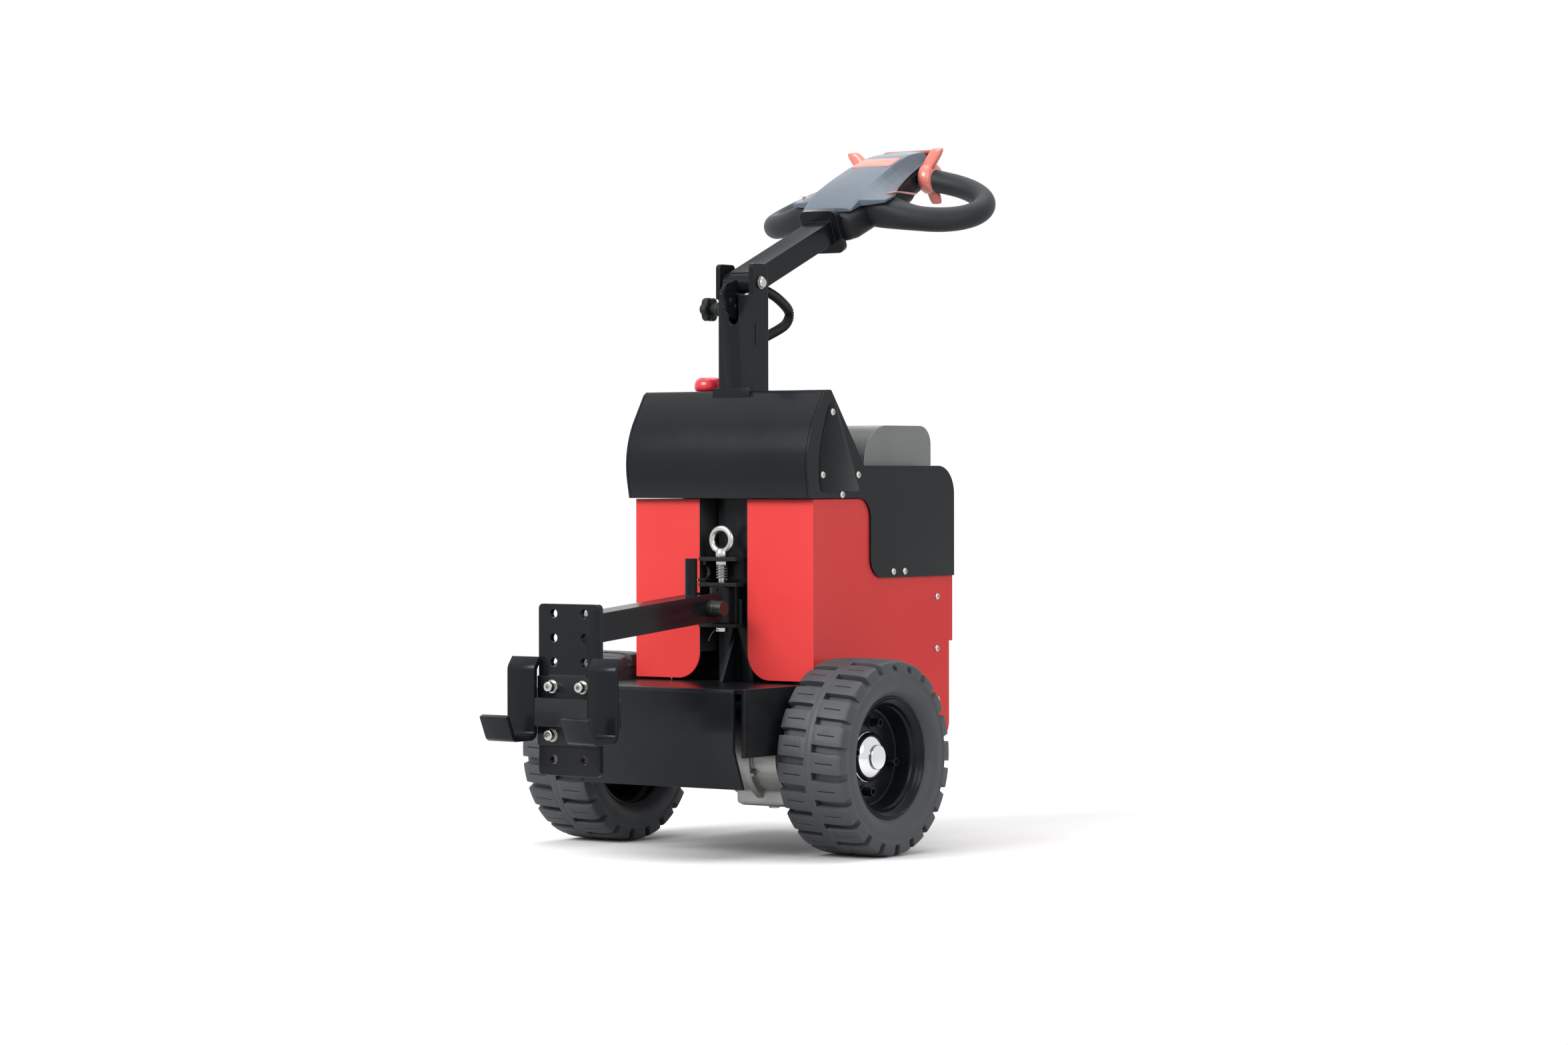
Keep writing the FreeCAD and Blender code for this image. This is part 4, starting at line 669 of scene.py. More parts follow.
# %% Copies in a ring about the X axis
ring_tree, given, result = node_tree("copies_in_a_ring", [
    ("Geometry", "Geometry"), ("Shape", "Object"), ("Count", "Int"), ("Start", "Float"),
    ("Material", "Material")])
shape_info = add_node(ring_tree, "GeometryNodeObjectInfo", Object=given.outputs["Shape"])
spots = add_node(ring_tree, "GeometryNodeMeshLine", Count=given.outputs["Count"])
spots.inputs["Offset"].default_value = (0, 0, 0)
number = add_node(ring_tree, "GeometryNodeInputIndex")
pitch = add_node(ring_tree, "ShaderNodeMath", {"operation": "DIVIDE"}, _0=2 * math.pi,
                 _1=given.outputs["Count"])
angle = add_node(ring_tree, "ShaderNodeMath", {"operation": "MULTIPLY_ADD"}, _0=number.outputs[0],
                 _1=pitch.outputs[0], _2=given.outputs["Start"])
spin = add_node(ring_tree, "ShaderNodeCombineXYZ", X=angle.outputs[0])
placed = add_node(ring_tree, "GeometryNodeInstanceOnPoints", Points=spots.outputs[0],
                  Instance=shape_info.outputs["Geometry"], Rotation=spin.outputs[0])
real = add_node(ring_tree, "GeometryNodeRealizeInstances", Geometry=placed.outputs[0])
done = add_node(ring_tree, "GeometryNodeSetMaterial", Geometry=real.outputs[0],
                Material=given.outputs["Material"])
ring_tree.links.new(done.outputs[0], result.inputs[0])


def ringed(name, mesh, count, start, middle):
    """Copies of a mesh turned about an axle along X that passes through the middle."""
    shape = add_object(name + "_shape", mesh)
    piece = run_tree(name, ring_tree, None, None, Shape=shape, Count=count, Start=start)
    whole = piece.data
    whole.transform(Matrix.Translation(middle))
    for made in (piece, shape):
        bpy.data.objects.remove(made)
    bpy.data.meshes.remove(mesh)
    return whole


print("trees:", ", ".join(tree.name for tree in (points_tree, ring_tree)))

# %% [markdown]
# ## Rims and hubs
#
# The pressed rim has a rolled lip, a deep barrel and a flat disc. Four sleeve nuts hold it, and a
# chromed cap covers the axle. The nuts sit a few degrees off the cross, as a wheel stops where it
# will.

# %% Rims, sleeve nuts and caps
RIM = [(32.0, 71.9), (36.6, 74.7), (38.9, 77.4), (39.9, 77.9), (40.7, 77.2), (40.6, 76.0),
       (39.6, 75.2), (38.2, 74.0), (36.6, 71.2), (35.0, 68.9), (33.0, 67.5), (30.6, 66.8),
       (29.2, 66.0), (28.3, 64.7), (27.4, 64.0), (25.0, 63.7), (8.5, 62.8), (6.2, 62.2),
       (5.2, 60.6), (5.0, 58.6), (5.0, 33.2), (4.4, 32.6), (0.0, 32.6), (0.0, 62.0),
       (-28.0, 64.0), (-38.0, 73.6), (-40.0, 76.2), (-40.0, 77.9), (-32.0, 71.9)]
CAP = [(-3.5, 0), (-3.5, 31.4), (5.0, 31.4), (5.0, 32.5), (6.0, 32.5), (6.4, 32.1), (6.5, 31.4),
       (8.0, 31.3), (10.5, 30.8), (12.8, 29.6), (14.8, 27.6), (16.4, 25.0), (17.8, 21.8),
       (18.9, 18.4), (19.3, 16.4), (19.4, 12.4), (20.4, 12.0), (20.6, 15.4), (21.1, 15.9),
       (22.1, 15.9), (22.6, 15.4), (22.7, 14.8), (22.7, 0)]
SLEEVE = [(5.0, 8.8), (6.6, 8.8), (6.9, 8.5), (6.9, 5.8), (19.2, 5.5), (19.8, 5.3), (20.0, 4.9),
          (20.0, 3.9), (19.4, 3.6), (11.0, 3.5), (11.0, 0)]
NUT_CIRCLE = 44.0
NUT_LEAD = 10.5

for side, (_, sense) in WHEELS.items():
    rim = add_object("rim_pressed_" + side, lathe("rim_" + side, RIM, 128, closed=True),
                     finish["black_paint"])
    to_wheel(rim.data, side)
    shade(rim.data, 40)
    attach(rim, "wheel_" + side, "black_paint", "rim_" + side)
    angles = [math.radians(90 * count + NUT_LEAD) for count in range(4)]
    sleeves = repeated("sleeve", lathe("sleeve", SLEEVE, 28),
                       [(0, -NUT_CIRCLE * MM * math.cos(angle), NUT_CIRCLE * MM * math.sin(angle))
                        for angle in angles])
    sleeves = joined("sleeve_nuts_" + side, [sleeves], finish["black_paint"])
    to_wheel(sleeves.data, side)
    shade(sleeves.data, 40)
    attach(sleeves, "wheel_" + side, "black_paint")
    cap = add_object("hub_cap_" + side, lathe("cap_" + side, CAP, 96), finish["chrome"])
    to_wheel(cap.data, side)
    shade(cap.data, 50)
    attach(cap, "wheel_" + side, "chrome", "hub_" + side)
print("rims, nuts and caps on", len(WHEELS), "wheels")

# %% [markdown]
# ## Fasteners
#
# The covers are held by button-head screws and the coupling plate by socket-head bolts on washers.
# They are all the same few shapes, so each is made once and set on a list of points. The points
# are found by looking for the surface under each hole, which keeps the screws seated if a panel
# moves.

# %% Find a surface
surfaces = {}


def surface(node, start, direction):
    """Where a straight look meets one solid."""
    if node not in surfaces:
        graph = bpy.context.evaluated_depsgraph_get()
        surfaces[node] = BVHTree.FromObject(nodes[node], graph)
    hit = surfaces[node].ray_cast(Vector(start), Vector(direction))[0]
    if hit is None:
        raise RuntimeError("nothing of " + node + " there")
    return hit


# %% The screws and bolts themselves
def socketed(name, outline, socket, depth, sides=30):
    """A turned head with a hexagonal socket sunk in its end."""
    mesh = lathe(name, outline, sides)
    work = bmesh.new()
    work.from_mesh(mesh)
    end = outline[-1][0] * MM
    rim = [work.verts.new((end, socket * MM * math.cos(math.pi * side / 3),
                           socket * MM * math.sin(math.pi * side / 3))) for side in range(6)]
    floor_ring = [work.verts.new((end - depth * MM, corner.co.y, corner.co.z)) for corner in rim]
    outer = sorted((vertex for vertex in work.verts if abs(vertex.co.x - end) < 1e-7
                    and vertex not in rim and vertex.co.yz.length > 1e-6),
                   key=lambda vertex: math.atan2(vertex.co.z, vertex.co.y) % (2 * math.pi))
    centre = [vertex for vertex in work.verts if vertex.co.yz.length < 1e-7
              and abs(vertex.co.x - end) < 1e-7]
    bmesh.ops.delete(work, geom=centre, context="VERTS")
    share = sides // 6
    for side in range(6):
        span_of_ring = [outer[(side * share + step) % sides] for step in range(share + 1)]
        work.faces.new(span_of_ring + [rim[(side + 1) % 6], rim[side]])
        work.faces.new((rim[side], rim[(side + 1) % 6], floor_ring[(side + 1) % 6],
                        floor_ring[side]))
    work.faces.new(floor_ring)
    bmesh.ops.recalc_face_normals(work, faces=work.faces)
    work.to_mesh(mesh)
    work.free()
    return mesh


BUTTON_HEAD = [(-0.4, 0), (-0.4, 4.5), (0.5, 4.7), (1.4, 4.3), (2.2, 3.4), (2.5, 2.7), (2.5, 0)]
CAP_HEAD = [(-1.0, 0), (-1.0, 8.5), (0.6, 8.5), (0.8, 8.3), (0.8, 7.4), (0.8, 6.9), (2.6, 6.9),
            (2.6, 6.2), (2.7, 6.4), (8.6, 6.4), (9.2, 6.1), (9.5, 5.5), (9.5, 0)]
button_screw = add_object("button_screw", socketed("button_screw", BUTTON_HEAD, 1.6, 1.4))
cap_bolt = add_object("cap_bolt", socketed("cap_bolt", CAP_HEAD, 3.0, 4.0))

# %% Screws in the side covers and panels
HOOD_SCREWS = [(16, 563), (-6, 482.5), (73, 482.5), (37, 457), (153, 356), (179, 356)]
PANEL_SCREWS = [(260, 321), (259, 252), (260, 184.5)]
for side, sign in (("left", -1), ("right", 1)):
    look = (-sign, 0, 0)
    upper = [surface("side_cover_" + side, (sign * 0.3, y * MM, z * MM), look)
             for y, z in HOOD_SCREWS]
    lower = [surface("body_panel_" + side, (sign * 0.3, y * MM, z * MM), look)
             for y, z in PANEL_SCREWS]
    aim = "X" if sign > 0 else "-X"
    copies("cover_screws_" + side, button_screw, upper, aim, "frame", "zinc_steel", 3)
    copies("panel_screws_" + side, button_screw, lower, aim, "frame", "zinc_steel", 4)
print(len(HOOD_SCREWS) + len(PANEL_SCREWS), "screws a side")

# %% Bolts through the coupling plate
COUPLING_BOLTS = [(-24, 222), (24, 222), (-24, 162), (24, 162)]
places = [surface("hook_carrier", (x * MM, -0.5, z * MM), (0, 1, 0)) for x, z in COUPLING_BOLTS]
copies("coupling_bolts", cap_bolt, places, "-Y", "coupling", "zinc_steel", 5)
for shape in (button_screw, cap_bolt):
    bpy.data.objects.remove(shape)

# %% [markdown]
# ## Rods, rings and springs
#
# The king pin is an eye bolt with a spring and hexagon nuts under it. Round stock that follows a
# line is a curve with a round section, which is the shortest way to say it.

# %% A round bar along a line
def bar(name, places, radius, material, smooth=True, sides=6, closed=False):
    """A tube along points in metres; it becomes a plain mesh."""
    curve = bpy.data.curves.new(name, "CURVE")
    curve.dimensions = "3D"
    curve.bevel_depth = radius * MM
    curve.bevel_resolution = sides
    curve.use_fill_caps = not closed
    line = curve.splines.new("NURBS" if smooth else "POLY")
    line.points.add(len(places) - 1)
    for point, place in zip(line.points, places):
        point.co = (*place, 1)
    line.use_cyclic_u = closed
    if smooth:
        line.order_u = 4
        line.use_endpoint_u = not closed
        line.resolution_u = 6
    holder = bpy.data.objects.new(name + "_line", curve)
    bpy.context.scene.collection.objects.link(holder)
    mesh = evaluated(holder)
    bpy.data.objects.remove(holder)
    bpy.data.curves.remove(curve)
    mesh.name = name
    shade(mesh, 40)
    return add_object(name, mesh, material)


KING_Y = -0.025
spring_turns, spring_low, spring_high = 5, 0.3478, 0.3655
coil = [(6.6 * MM * math.cos(turn), KING_Y + 6.6 * MM * math.sin(turn),
         spring_low + (spring_high - spring_low) * step / (24 * spring_turns))
        for step in range(24 * spring_turns + 1) for turn in [2 * math.pi * step / 24]]
spring = bar("kingpin_spring", coil, 1.15, finish["bare_steel"], smooth=False, sides=3)
attach(spring, "frame", "bare_steel")
print("spring of", spring_turns, "coils")

# %% Eye bolt with its collar, nuts and washers
def eye_bolt():
    """A forged eye on a stem, one node, drawn as turned and swept round stock."""
    ring_middle, ring_radius, bar_radius = 0.3988, 15.2, 4.5
    circle = [(ring_radius * MM * math.sin(2 * math.pi * step / 32), KING_Y,
               ring_middle + ring_radius * MM * math.cos(2 * math.pi * step / 32))
              for step in range(32)]
    ring_piece = bar("eye", circle, bar_radius, finish["zinc_steel"], closed=True, sides=7)
    stem = lathe("stem", [(281, 0), (281, 4.2), (282, 4.9), (376.7, 5.0), (376.7, 8.2), (377.6, 8.5),
                          (383.2, 8.5), (385.0, 7.6), (387.5, 6.3), (390.0, 0)], 32, "Z",
                 (0, KING_Y, 0))
    mesh = ring_piece.data
    bpy.data.objects.remove(ring_piece)
    return joined("eye_bolt", [mesh, stem], finish["zinc_steel"])


eye = eye_bolt()
shade(eye.data, 40)
attach(eye, "frame", "zinc_steel", "pull_ring")


def hexagon_nut(name, low, height, across, axis="Z", at=(0, 0, 0), turn=0.3):
    """A nut with its corners turned off, from its low face, in millimetres."""
    corner = across / math.sqrt(3)
    outline = [(low, 0), (low, corner * 0.9), (low + 0.12 * height, corner),
               (low + 0.88 * height, corner), (low + height, corner * 0.9), (low + height, 0)]
    spin = TURNS[axis] @ Matrix.Rotation(turn, 3, "X")
    return lathe(name, outline, 6, at=at, turn=spin)


nuts = [hexagon_nut("nut", 366.2, 5.2, 13, at=(0, KING_Y, 0)),
        hexagon_nut("nut", 329.5, 3.6, 13, at=(0, KING_Y, 0)),
        hexagon_nut("nut", 279.8, 6.0, 13, at=(0, KING_Y, 0), turn=0.1)]
nuts = joined("kingpin_nuts", nuts, finish["zinc_steel"])
shade(nuts.data, 30)
attach(nuts, "frame", "zinc_steel")

# %% A short lanyard and the cross rod
lanyard_places = [(-3 * MM, KING_Y - 5 * MM, 0.2835), (-7 * MM, KING_Y - 8 * MM, 0.2825),
                  (-12 * MM, KING_Y - 9 * MM, 0.277), (-15 * MM, KING_Y - 9 * MM, 0.268)]
lanyard = bar("nut_lanyard", lanyard_places, 0.55, finish["lanyard"], sides=3)
attach(lanyard, "frame", "black_plastic")
rod_piece = bar("cross_rod", [(-0.022, -0.050, 0.3472), (-0.022, -0.014, 0.3472)], 2.0,
                finish["zinc_steel"], smooth=False)
attach(rod_piece, "frame", "zinc_steel")

# %% [markdown]
# ## Weld beads
#
# A weld is a row of overlapping puddles, so the bead's radius rises and falls along its line and
# wanders a little. It is painted over with the part that it holds.

# %% Beads along lines
def bead(name, body, slot, runs, radius=1.7, ripple=2.2):
    """Weld runs: each is a list of corner points in metres."""
    work = bmesh.new()
    for count, run in enumerate(runs):
        places = []
        for start, end in zip(run, run[1:]):
            start, end = Vector(start), Vector(end)
            steps = max(2, int((end - start).length / (ripple * MM / 4)))
            places += [start.lerp(end, step / steps) for step in range(steps)]
        places.append(Vector(run[-1]))
        rings = []
        for index, place in enumerate(places):
            ahead = places[min(index + 1, len(places) - 1)] - places[max(index - 1, 0)]
            turn = ahead.to_track_quat("Z", "Y").to_matrix()
            wave = 1 + 0.16 * math.sin(index * math.pi / 2) + 0.08 * math.sin(index * 0.37 + count)
            if index in (0, len(places) - 1):
                wave *= 0.4
            rings.append([work.verts.new(place + turn @ (Vector((
                math.cos(2 * math.pi * side / 8), math.sin(2 * math.pi * side / 8), 0))
                * radius * MM * wave)) for side in range(8)])
        for near, far in zip(rings, rings[1:]):
            for side in range(8):
                work.faces.new((near[side], near[(side + 1) % 8], far[(side + 1) % 8], far[side]))
        work.faces.new(rings[0])
        work.faces.new(rings[-1])
    bmesh.ops.recalc_face_normals(work, faces=work.faces)
    mesh = bpy.data.meshes.new(name)
    work.to_mesh(mesh)
    work.free()
    shade(mesh, 60)
    return attach(add_object(name, mesh, finish[slot]), body, slot)


bead("carrier_welds", "coupling", "black_paint",
     [[(-0.030, -0.3405, 0.2352), (0.030, -0.3405, 0.2352)]], 2.0)
bead("column_welds", "frame", "black_paint",
     [[(0.0277, 0.013, 0.651), (0.0277, 0.013, 0.679)],
      [(-0.0277, 0.013, 0.651), (-0.0277, 0.013, 0.679)]],
     1.3)

# %% [markdown]
# ## Controls
#
# The stop button is a wide mushroom that a fist can hit, with a turned-in rim. The index plunger
# has a lobed knob, so that oily fingers can pull it.

# %% Stop button
STOP_AT = (-0.070, 0.042, 0)
stop_base = lathe("stop_base", [(579, 0), (579, 15.5), (588.5, 15.5), (589.5, 15.0), (590.5, 13.0),
                                (593.4, 12.4), (594.5, 0)], 48, "Z", STOP_AT)
stop_cap = lathe("stop_cap", [(594.0, 0), (593.0, 12.0), (592.2, 16.4), (593.0, 18.6), (595.6, 19.8),
                              (599.6, 19.95), (603.6, 19.3), (607.0, 17.4), (609.4, 14.6), (610.6, 11.6),
                              (610.6, 10.2), (609.8, 9.0), (608.4, 8.0), (607.8, 6.0), (607.6, 0)],
                 64, "Z", STOP_AT)
base_piece = add_object("stop_button_base", stop_base, finish["black_plastic"])
cap_piece = add_object("stop_button_cap", stop_cap, finish["red_plastic"])
for piece in (base_piece, cap_piece):
    shade(piece.data, 50)
attach(base_piece, "frame", "black_plastic")
attach(cap_piece, "frame", "red_plastic", "emergency_stop")

# %% Star knob of the plunger
def star_knob(name, start, end, radius, lobes=6, sides=72):
    """A knob with rounded lobes along -X, from start to end in millimetres."""
    work = bmesh.new()
    shares = [(0.0, 0.86), (0.10, 0.97), (0.22, 1.0), (0.78, 1.0), (0.92, 0.95), (1.0, 0.82)]
    rings = []
    for along, share in shares:
        ring_now = []
        for side in range(sides):
            angle = 2 * math.pi * side / sides
            dent = 1 - 0.155 * (0.5 - 0.5 * math.cos(lobes * angle)) ** 1.6
            reach = radius * MM * share * dent
            ring_now.append(work.verts.new(((start + (end - start) * along) * MM,
                                            reach * math.cos(angle), reach * math.sin(angle))))
        rings.append(ring_now)
    for near, far in zip(rings, rings[1:]):
        for side in range(sides):
            work.faces.new((near[side], near[(side + 1) % sides], far[(side + 1) % sides], far[side]))
    work.faces.new(rings[0])
    work.faces.new(rings[-1])
    bmesh.ops.recalc_face_normals(work, faces=work.faces)
    mesh = bpy.data.meshes.new(name)
    work.to_mesh(mesh)
    work.free()
    return mesh


plunger_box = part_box("index_plunger")
plunger_middle = [(low + high) / 2 for low, high in zip(*plunger_box)]
star = star_knob("star", -46.0, -57.0, 16.4)
star.transform(Matrix.Translation((0, plunger_middle[1], plunger_middle[2])))
at_plunger = (0, plunger_middle[1], plunger_middle[2])
stem = lathe("stem", [(22.6, 0), (22.6, 3.3), (27.6, 3.3), (27.6, 6.6), (33.5, 6.6), (33.5, 8.6),
                      (34.2, 9.0), (38.4, 9.0), (39.0, 8.6), (39.0, 7.4), (46.4, 7.4), (46.4, 0)],
             40, "-X", at_plunger)
nut = hexagon_nut("nut", 27.7, 5.6, 17, "-X", at_plunger)
plunger = joined("index_plunger_knob", [star, stem, nut], finish["black_plastic"])
shade(plunger.data, 38)
attach(plunger, "frame", "black_plastic", "index_plunger")

# %% [markdown]
# ## Tiller head
#
# The head is made of moulded parts on one sloping line: a soft-touch loop on each side, a grey
# cover with two wings, and a butterfly lever on each loop for speed. It is easiest to think of it
# level, so the points are given across, along and up from the arm, in millimetres, and one matrix
# carries them to the arm's slope.

# %% The arm's own directions
ARM_SLOPE = math.radians(22.8)
TILLER_PIVOT = (0, 0.022, 0.732)
ARM = (Matrix.Translation(TILLER_PIVOT) @ Matrix.Rotation(ARM_SLOPE, 4, "X")
       @ Matrix.Diagonal((MM, MM, MM, 1)))
LEVEL = Matrix.Scale(MM, 4)
SIGNS = {"left": -1, "right": 1}


def built(name, rings, material, caps=True, closed=True, where=ARM):
    """Skin a list of equal rings of points; closed joins each ring's ends."""
    work = bmesh.new()
    rows = [[work.verts.new(where @ Vector(point)) for point in ring] for ring in rings]
    count = len(rows[0])
    for near, far in zip(rows, rows[1:]):
        for index in range(count if closed else count - 1):
            after = (index + 1) % count
            work.faces.new((near[index], near[after], far[after], far[index]))
    if caps:
        work.faces.new(rows[0])
        work.faces.new(rows[-1])
    bmesh.ops.recalc_face_normals(work, faces=work.faces)
    mesh = bpy.data.meshes.new(name)
    work.to_mesh(mesh)
    work.free()
    return add_object(name, mesh, material)


def ease(share):
    share = min(max(share, 0.0), 1.0)
    return share * share * (3 - 2 * share)


def rounded(piece, width, segments=3, angle=12, subdivide=0):
    """Soften a moulded part's edges, then keep it as plain mesh."""
    edge = piece.modifiers.new("edge", "BEVEL")
    edge.width, edge.segments = width * MM, segments
    edge.limit_method, edge.angle_limit = "ANGLE", math.radians(angle)
    edge.use_clamp_overlap = True
    if subdivide:
        soft = piece.modifiers.new("soft", "SUBSURF")
        soft.levels = soft.render_levels = subdivide
    settle(piece)
    shade(piece.data, 50)
    return piece


# %% Loops
LOOP_NEAR, LOOP_FAR, LOOP_OUT, LOOP_BULGE = 261.0, 391.0, 88.0, 79.0
LOOP_ROOT, LOOP_UP, DROOP = 46.0, 18.0, math.radians(15)
KNOB_OUT = 62.0


def loop_path():
    middle, half = (LOOP_NEAR + LOOP_FAR) / 2, (LOOP_FAR - LOOP_NEAR) / 2
    places = [(LOOP_ROOT - 4 + step * (LOOP_OUT - LOOP_ROOT + 4) / 10, LOOP_NEAR) for step in range(10)]
    places += [(LOOP_OUT + LOOP_BULGE * math.sin(math.pi * step / 40),
                middle - half * math.cos(math.pi * step / 40)) for step in range(41)]
    places += [(LOOP_OUT - step * (LOOP_OUT - KNOB_OUT + 2) / 4, LOOP_FAR) for step in range(1, 5)]
    return [Vector(place) for place in places]


def loop_rings(sign):
    path = loop_path()
    runs = [0.0]
    for before, after in zip(path, path[1:]):
        runs.append(runs[-1] + (after - before).length)
    tilt = Matrix.Rotation(DROOP, 3, "Y")
    rings = []
    for index, place in enumerate(path):
        ahead = (path[min(index + 1, len(path) - 1)] - path[max(index - 1, 0)]).normalized()
        aside = Vector((ahead.y, -ahead.x))
        root = 1 - ease(runs[index] / 78)
        rear = ease((runs[index] - 60) / (runs[-1] - 90))
        thick = 16.6 - 1.4 * rear + 4.6 * root
        square = 2 + 1.6 * root
        ring_now = []
        for side in range(32):
            angle = 2 * math.pi * side / 32
            across, up = math.cos(angle), math.sin(angle)
            size = thick / (abs(across) ** square + abs(up) ** square) ** (1 / square)
            flat = Vector((place.x + aside.x * across * size, place.y + aside.y * across * size,
                           up * size))
            flat = tilt @ flat
            ring_now.append((sign * flat.x, flat.y, flat.z + LOOP_UP - 3 * rear))
        rings.append(ring_now)
    return rings


for side, sign in SIGNS.items():
    loop = built("loop_" + side, loop_rings(sign), finish["grip_rubber"])
    axle = lathe("axle", [(38, 0), (38, 6), (KNOB_OUT + 8, 6), (KNOB_OUT + 8, 0)], 24)
    axle.transform(ARM @ Matrix.Translation((0, LOOP_FAR, 3)) @ Matrix.Scale(1 / MM, 4)
                   if sign > 0 else ARM @ Matrix.Translation((0, LOOP_FAR, 3))
                   @ Matrix.Rotation(math.pi, 4, "Z") @ Matrix.Scale(1 / MM, 4))
    mesh = loop.data
    bpy.data.objects.remove(loop)
    grip = joined("grip_moulded_" + side, [mesh, axle], finish["grip_rubber"])
    shade(grip.data, 50)
    attach(grip, "tiller", "grip_rubber", "grip_" + side)

# %% Cover: half widths and heights of its cross-sections along the arm
COVER_FLOOR = 20.3
COVER = [  # along, top, crease across, crease up, edge across, edge up
    (212, 26.6, 33, 25.6, 40, 23.4), (222, 30.0, 33.5, 28.9, 41, 26.6),
    (233, 33.4, 34.5, 32.2, 42, 29.6), (238, 34.8, 36, 33.2, 60, 27.0),
    (243, 35.8, 37, 34.2, 76, 24.6), (254, 38.0, 38, 36.3, 77.8, 24.4),
    (266, 39.6, 38, 37.8, 77, 24.0), (282, 41.2, 37.5, 39.4, 70, 23.4),
    (300, 42.4, 37, 40.6, 61.5, 22.8), (331, 43.7, 35, 42.2, 52, 22.4),
    (358, 43.7, 34, 42.2, 45.5, 22.4), (380, 42.4, 33.5, 40.9, 42, 22.6),
    (398, 39.0, 33, 37.6, 40, 22.8), (417, 34.4, 32, 33.0, 37.5, 23.0),
    (420.5, 32.4, 31, 31.2, 36.5, 22.6)]


def cover_ring(row):
    along, top, crease, crease_up, edge, edge_up = row
    half = [(edge - 0.6, COVER_FLOOR), (edge, edge_up - 1.2), (edge - 1.4, edge_up),
            (crease + 0.62 * (edge - crease), edge_up + 0.22 * (crease_up - edge_up)),
            (crease + 0.26 * (edge - crease), edge_up + 0.60 * (crease_up - edge_up)),
            (crease, crease_up), (0.5 * crease, top - 0.25 * (top - crease_up))]
    left = [(-across, along, up) for across, up in half]
    right = [(across, along, up) for across, up in reversed(half)]
    return left + [(0, along, top)] + right


cover = built("head_cover", [cover_ring(row) for row in COVER], finish["grey_plastic"])
rounded(cover, 1.6, 3, 9)
attach(cover, "tiller", "grey_plastic", "tiller_head")

# %% Blank label on the cover
def label_top(across):
    return 43.7 - 1.5 * (across / 35) ** 2 + 0.5


LABEL_HALF, LABEL_NEAR, LABEL_FAR, LABEL_CORNER = 31.5, 331.5, 362.5, 3.5
outline = []
for corner_x, corner_y, start in ((1, 1, 0), (-1, 1, 90), (-1, 0, 180), (1, 0, 270)):
    middle_x = corner_x * (LABEL_HALF - LABEL_CORNER)
    middle_y = (LABEL_FAR - LABEL_CORNER) if corner_y else (LABEL_NEAR + LABEL_CORNER)
    for step in range(7):
        angle = math.radians(start + 15 * step)
        outline.append((middle_x + LABEL_CORNER * math.cos(angle),
                        middle_y + LABEL_CORNER * math.sin(angle)))
inner = [(0.97 * across, 347 + 0.96 * (along - 347)) for across, along in outline]
rings = [[(across, along, label_top(across) - 3.0) for across, along in outline],
         [(across, along, label_top(across)) for across, along in outline],
         [(across, along, label_top(across) + 0.35) for across, along in inner],
         [(0.5 * across, 347 + 0.5 * (along - 347), label_top(0.5 * across) + 0.4)
          for across, along in inner]]
label = built("head_label", rings, finish["salmon_label"])
shade(label.data, 30)
attach(label, "tiller", "salmon_plastic", "head_panel")

# %% Butterfly levers
KNOB_ALONG, KNOB_UP = 391.0, 3.0


BLADES = {  # reach from the axis, sweep, inner and outer edge across, thickness
    1: [(6, 0, 43.5, 59, 24), (14, 0.5, 43.5, 61, 19), (20, 1.5, 44.5, 66, 14.5),
        (26, 3, 48, 71.5, 12), (32, 4.5, 53, 76, 10.5), (37, 5.5, 58, 78.5, 9), (40.5, 6, 62, 78.5, 6)],
    -1: [(6, 0, 43.5, 59, 24), (14, 0.5, 43.5, 60, 18), (20, 1.5, 44, 61.5, 13),
         (26, 3, 45.5, 63, 10.5), (32, 4.5, 48, 64, 9), (35, 5, 50, 63.5, 6)]}


def blade(sign, up_sign):
    """A thumb wing, broad at the hub and swept outwards over the loop."""
    rings = []
    for reach, sweep, inner_x, outer_x, thick in BLADES[up_sign]:
        ring_now = []
        for step in range(16):
            angle = 2 * math.pi * step / 16
            across, along = math.cos(angle), math.sin(angle)
            size = 1 / (abs(across) ** 3 + abs(along) ** 3) ** (1 / 3)
            ring_now.append((sign * ((inner_x + outer_x) / 2 + (outer_x - inner_x) / 2 * across * size),
                             KNOB_ALONG + sweep * up_sign + thick / 2 * along * size,
                             KNOB_UP + up_sign * reach))
        rings.append(ring_now)
    return built("blade", rings, finish["salmon_plastic"])


for side, sign in SIGNS.items():
    barrel = lathe("barrel", [(42.2, 0), (42.2, 17.0), (43.4, 19.4), (46.0, 21.0), (51.0, 21.6),
                              (56.5, 21.0), (59.8, 19.0), (61.4, 16.2), (61.4, 0)], 48)
    turn = Matrix.Rotation(0 if sign > 0 else math.pi, 4, "Z")
    barrel.transform(ARM @ Matrix.Translation((0, KNOB_ALONG, KNOB_UP)) @ turn @ Matrix.Scale(1 / MM, 4))
    parts = [barrel]
    for up_sign in (1, -1):
        wing = rounded(blade(sign, up_sign), 1.2, 2, 40, 1)
        parts.append(wing.data)
        bpy.data.objects.remove(wing)
    lever = joined("butterfly_" + side, parts, finish["salmon_plastic"])
    shade(lever.data, 50)
    attach(lever, "throttle_" + side + "_body", "salmon_plastic", "throttle_" + side)

# %% Housing under the cover, and the stop paddle at its far end
def soft_box(half, low, high, square=5, sides=36):
    """A rounded rectangle across and up, as one ring of points."""
    points = []
    for step in range(sides):
        angle = 2 * math.pi * (step + 0.5) / sides
        across, up = math.cos(angle), math.sin(angle)
        size = 1 / (abs(across) ** square + abs(up) ** square) ** (1 / square)
        points.append((half * across * size, (low + high) / 2 + (high - low) / 2 * up * size))
    return points


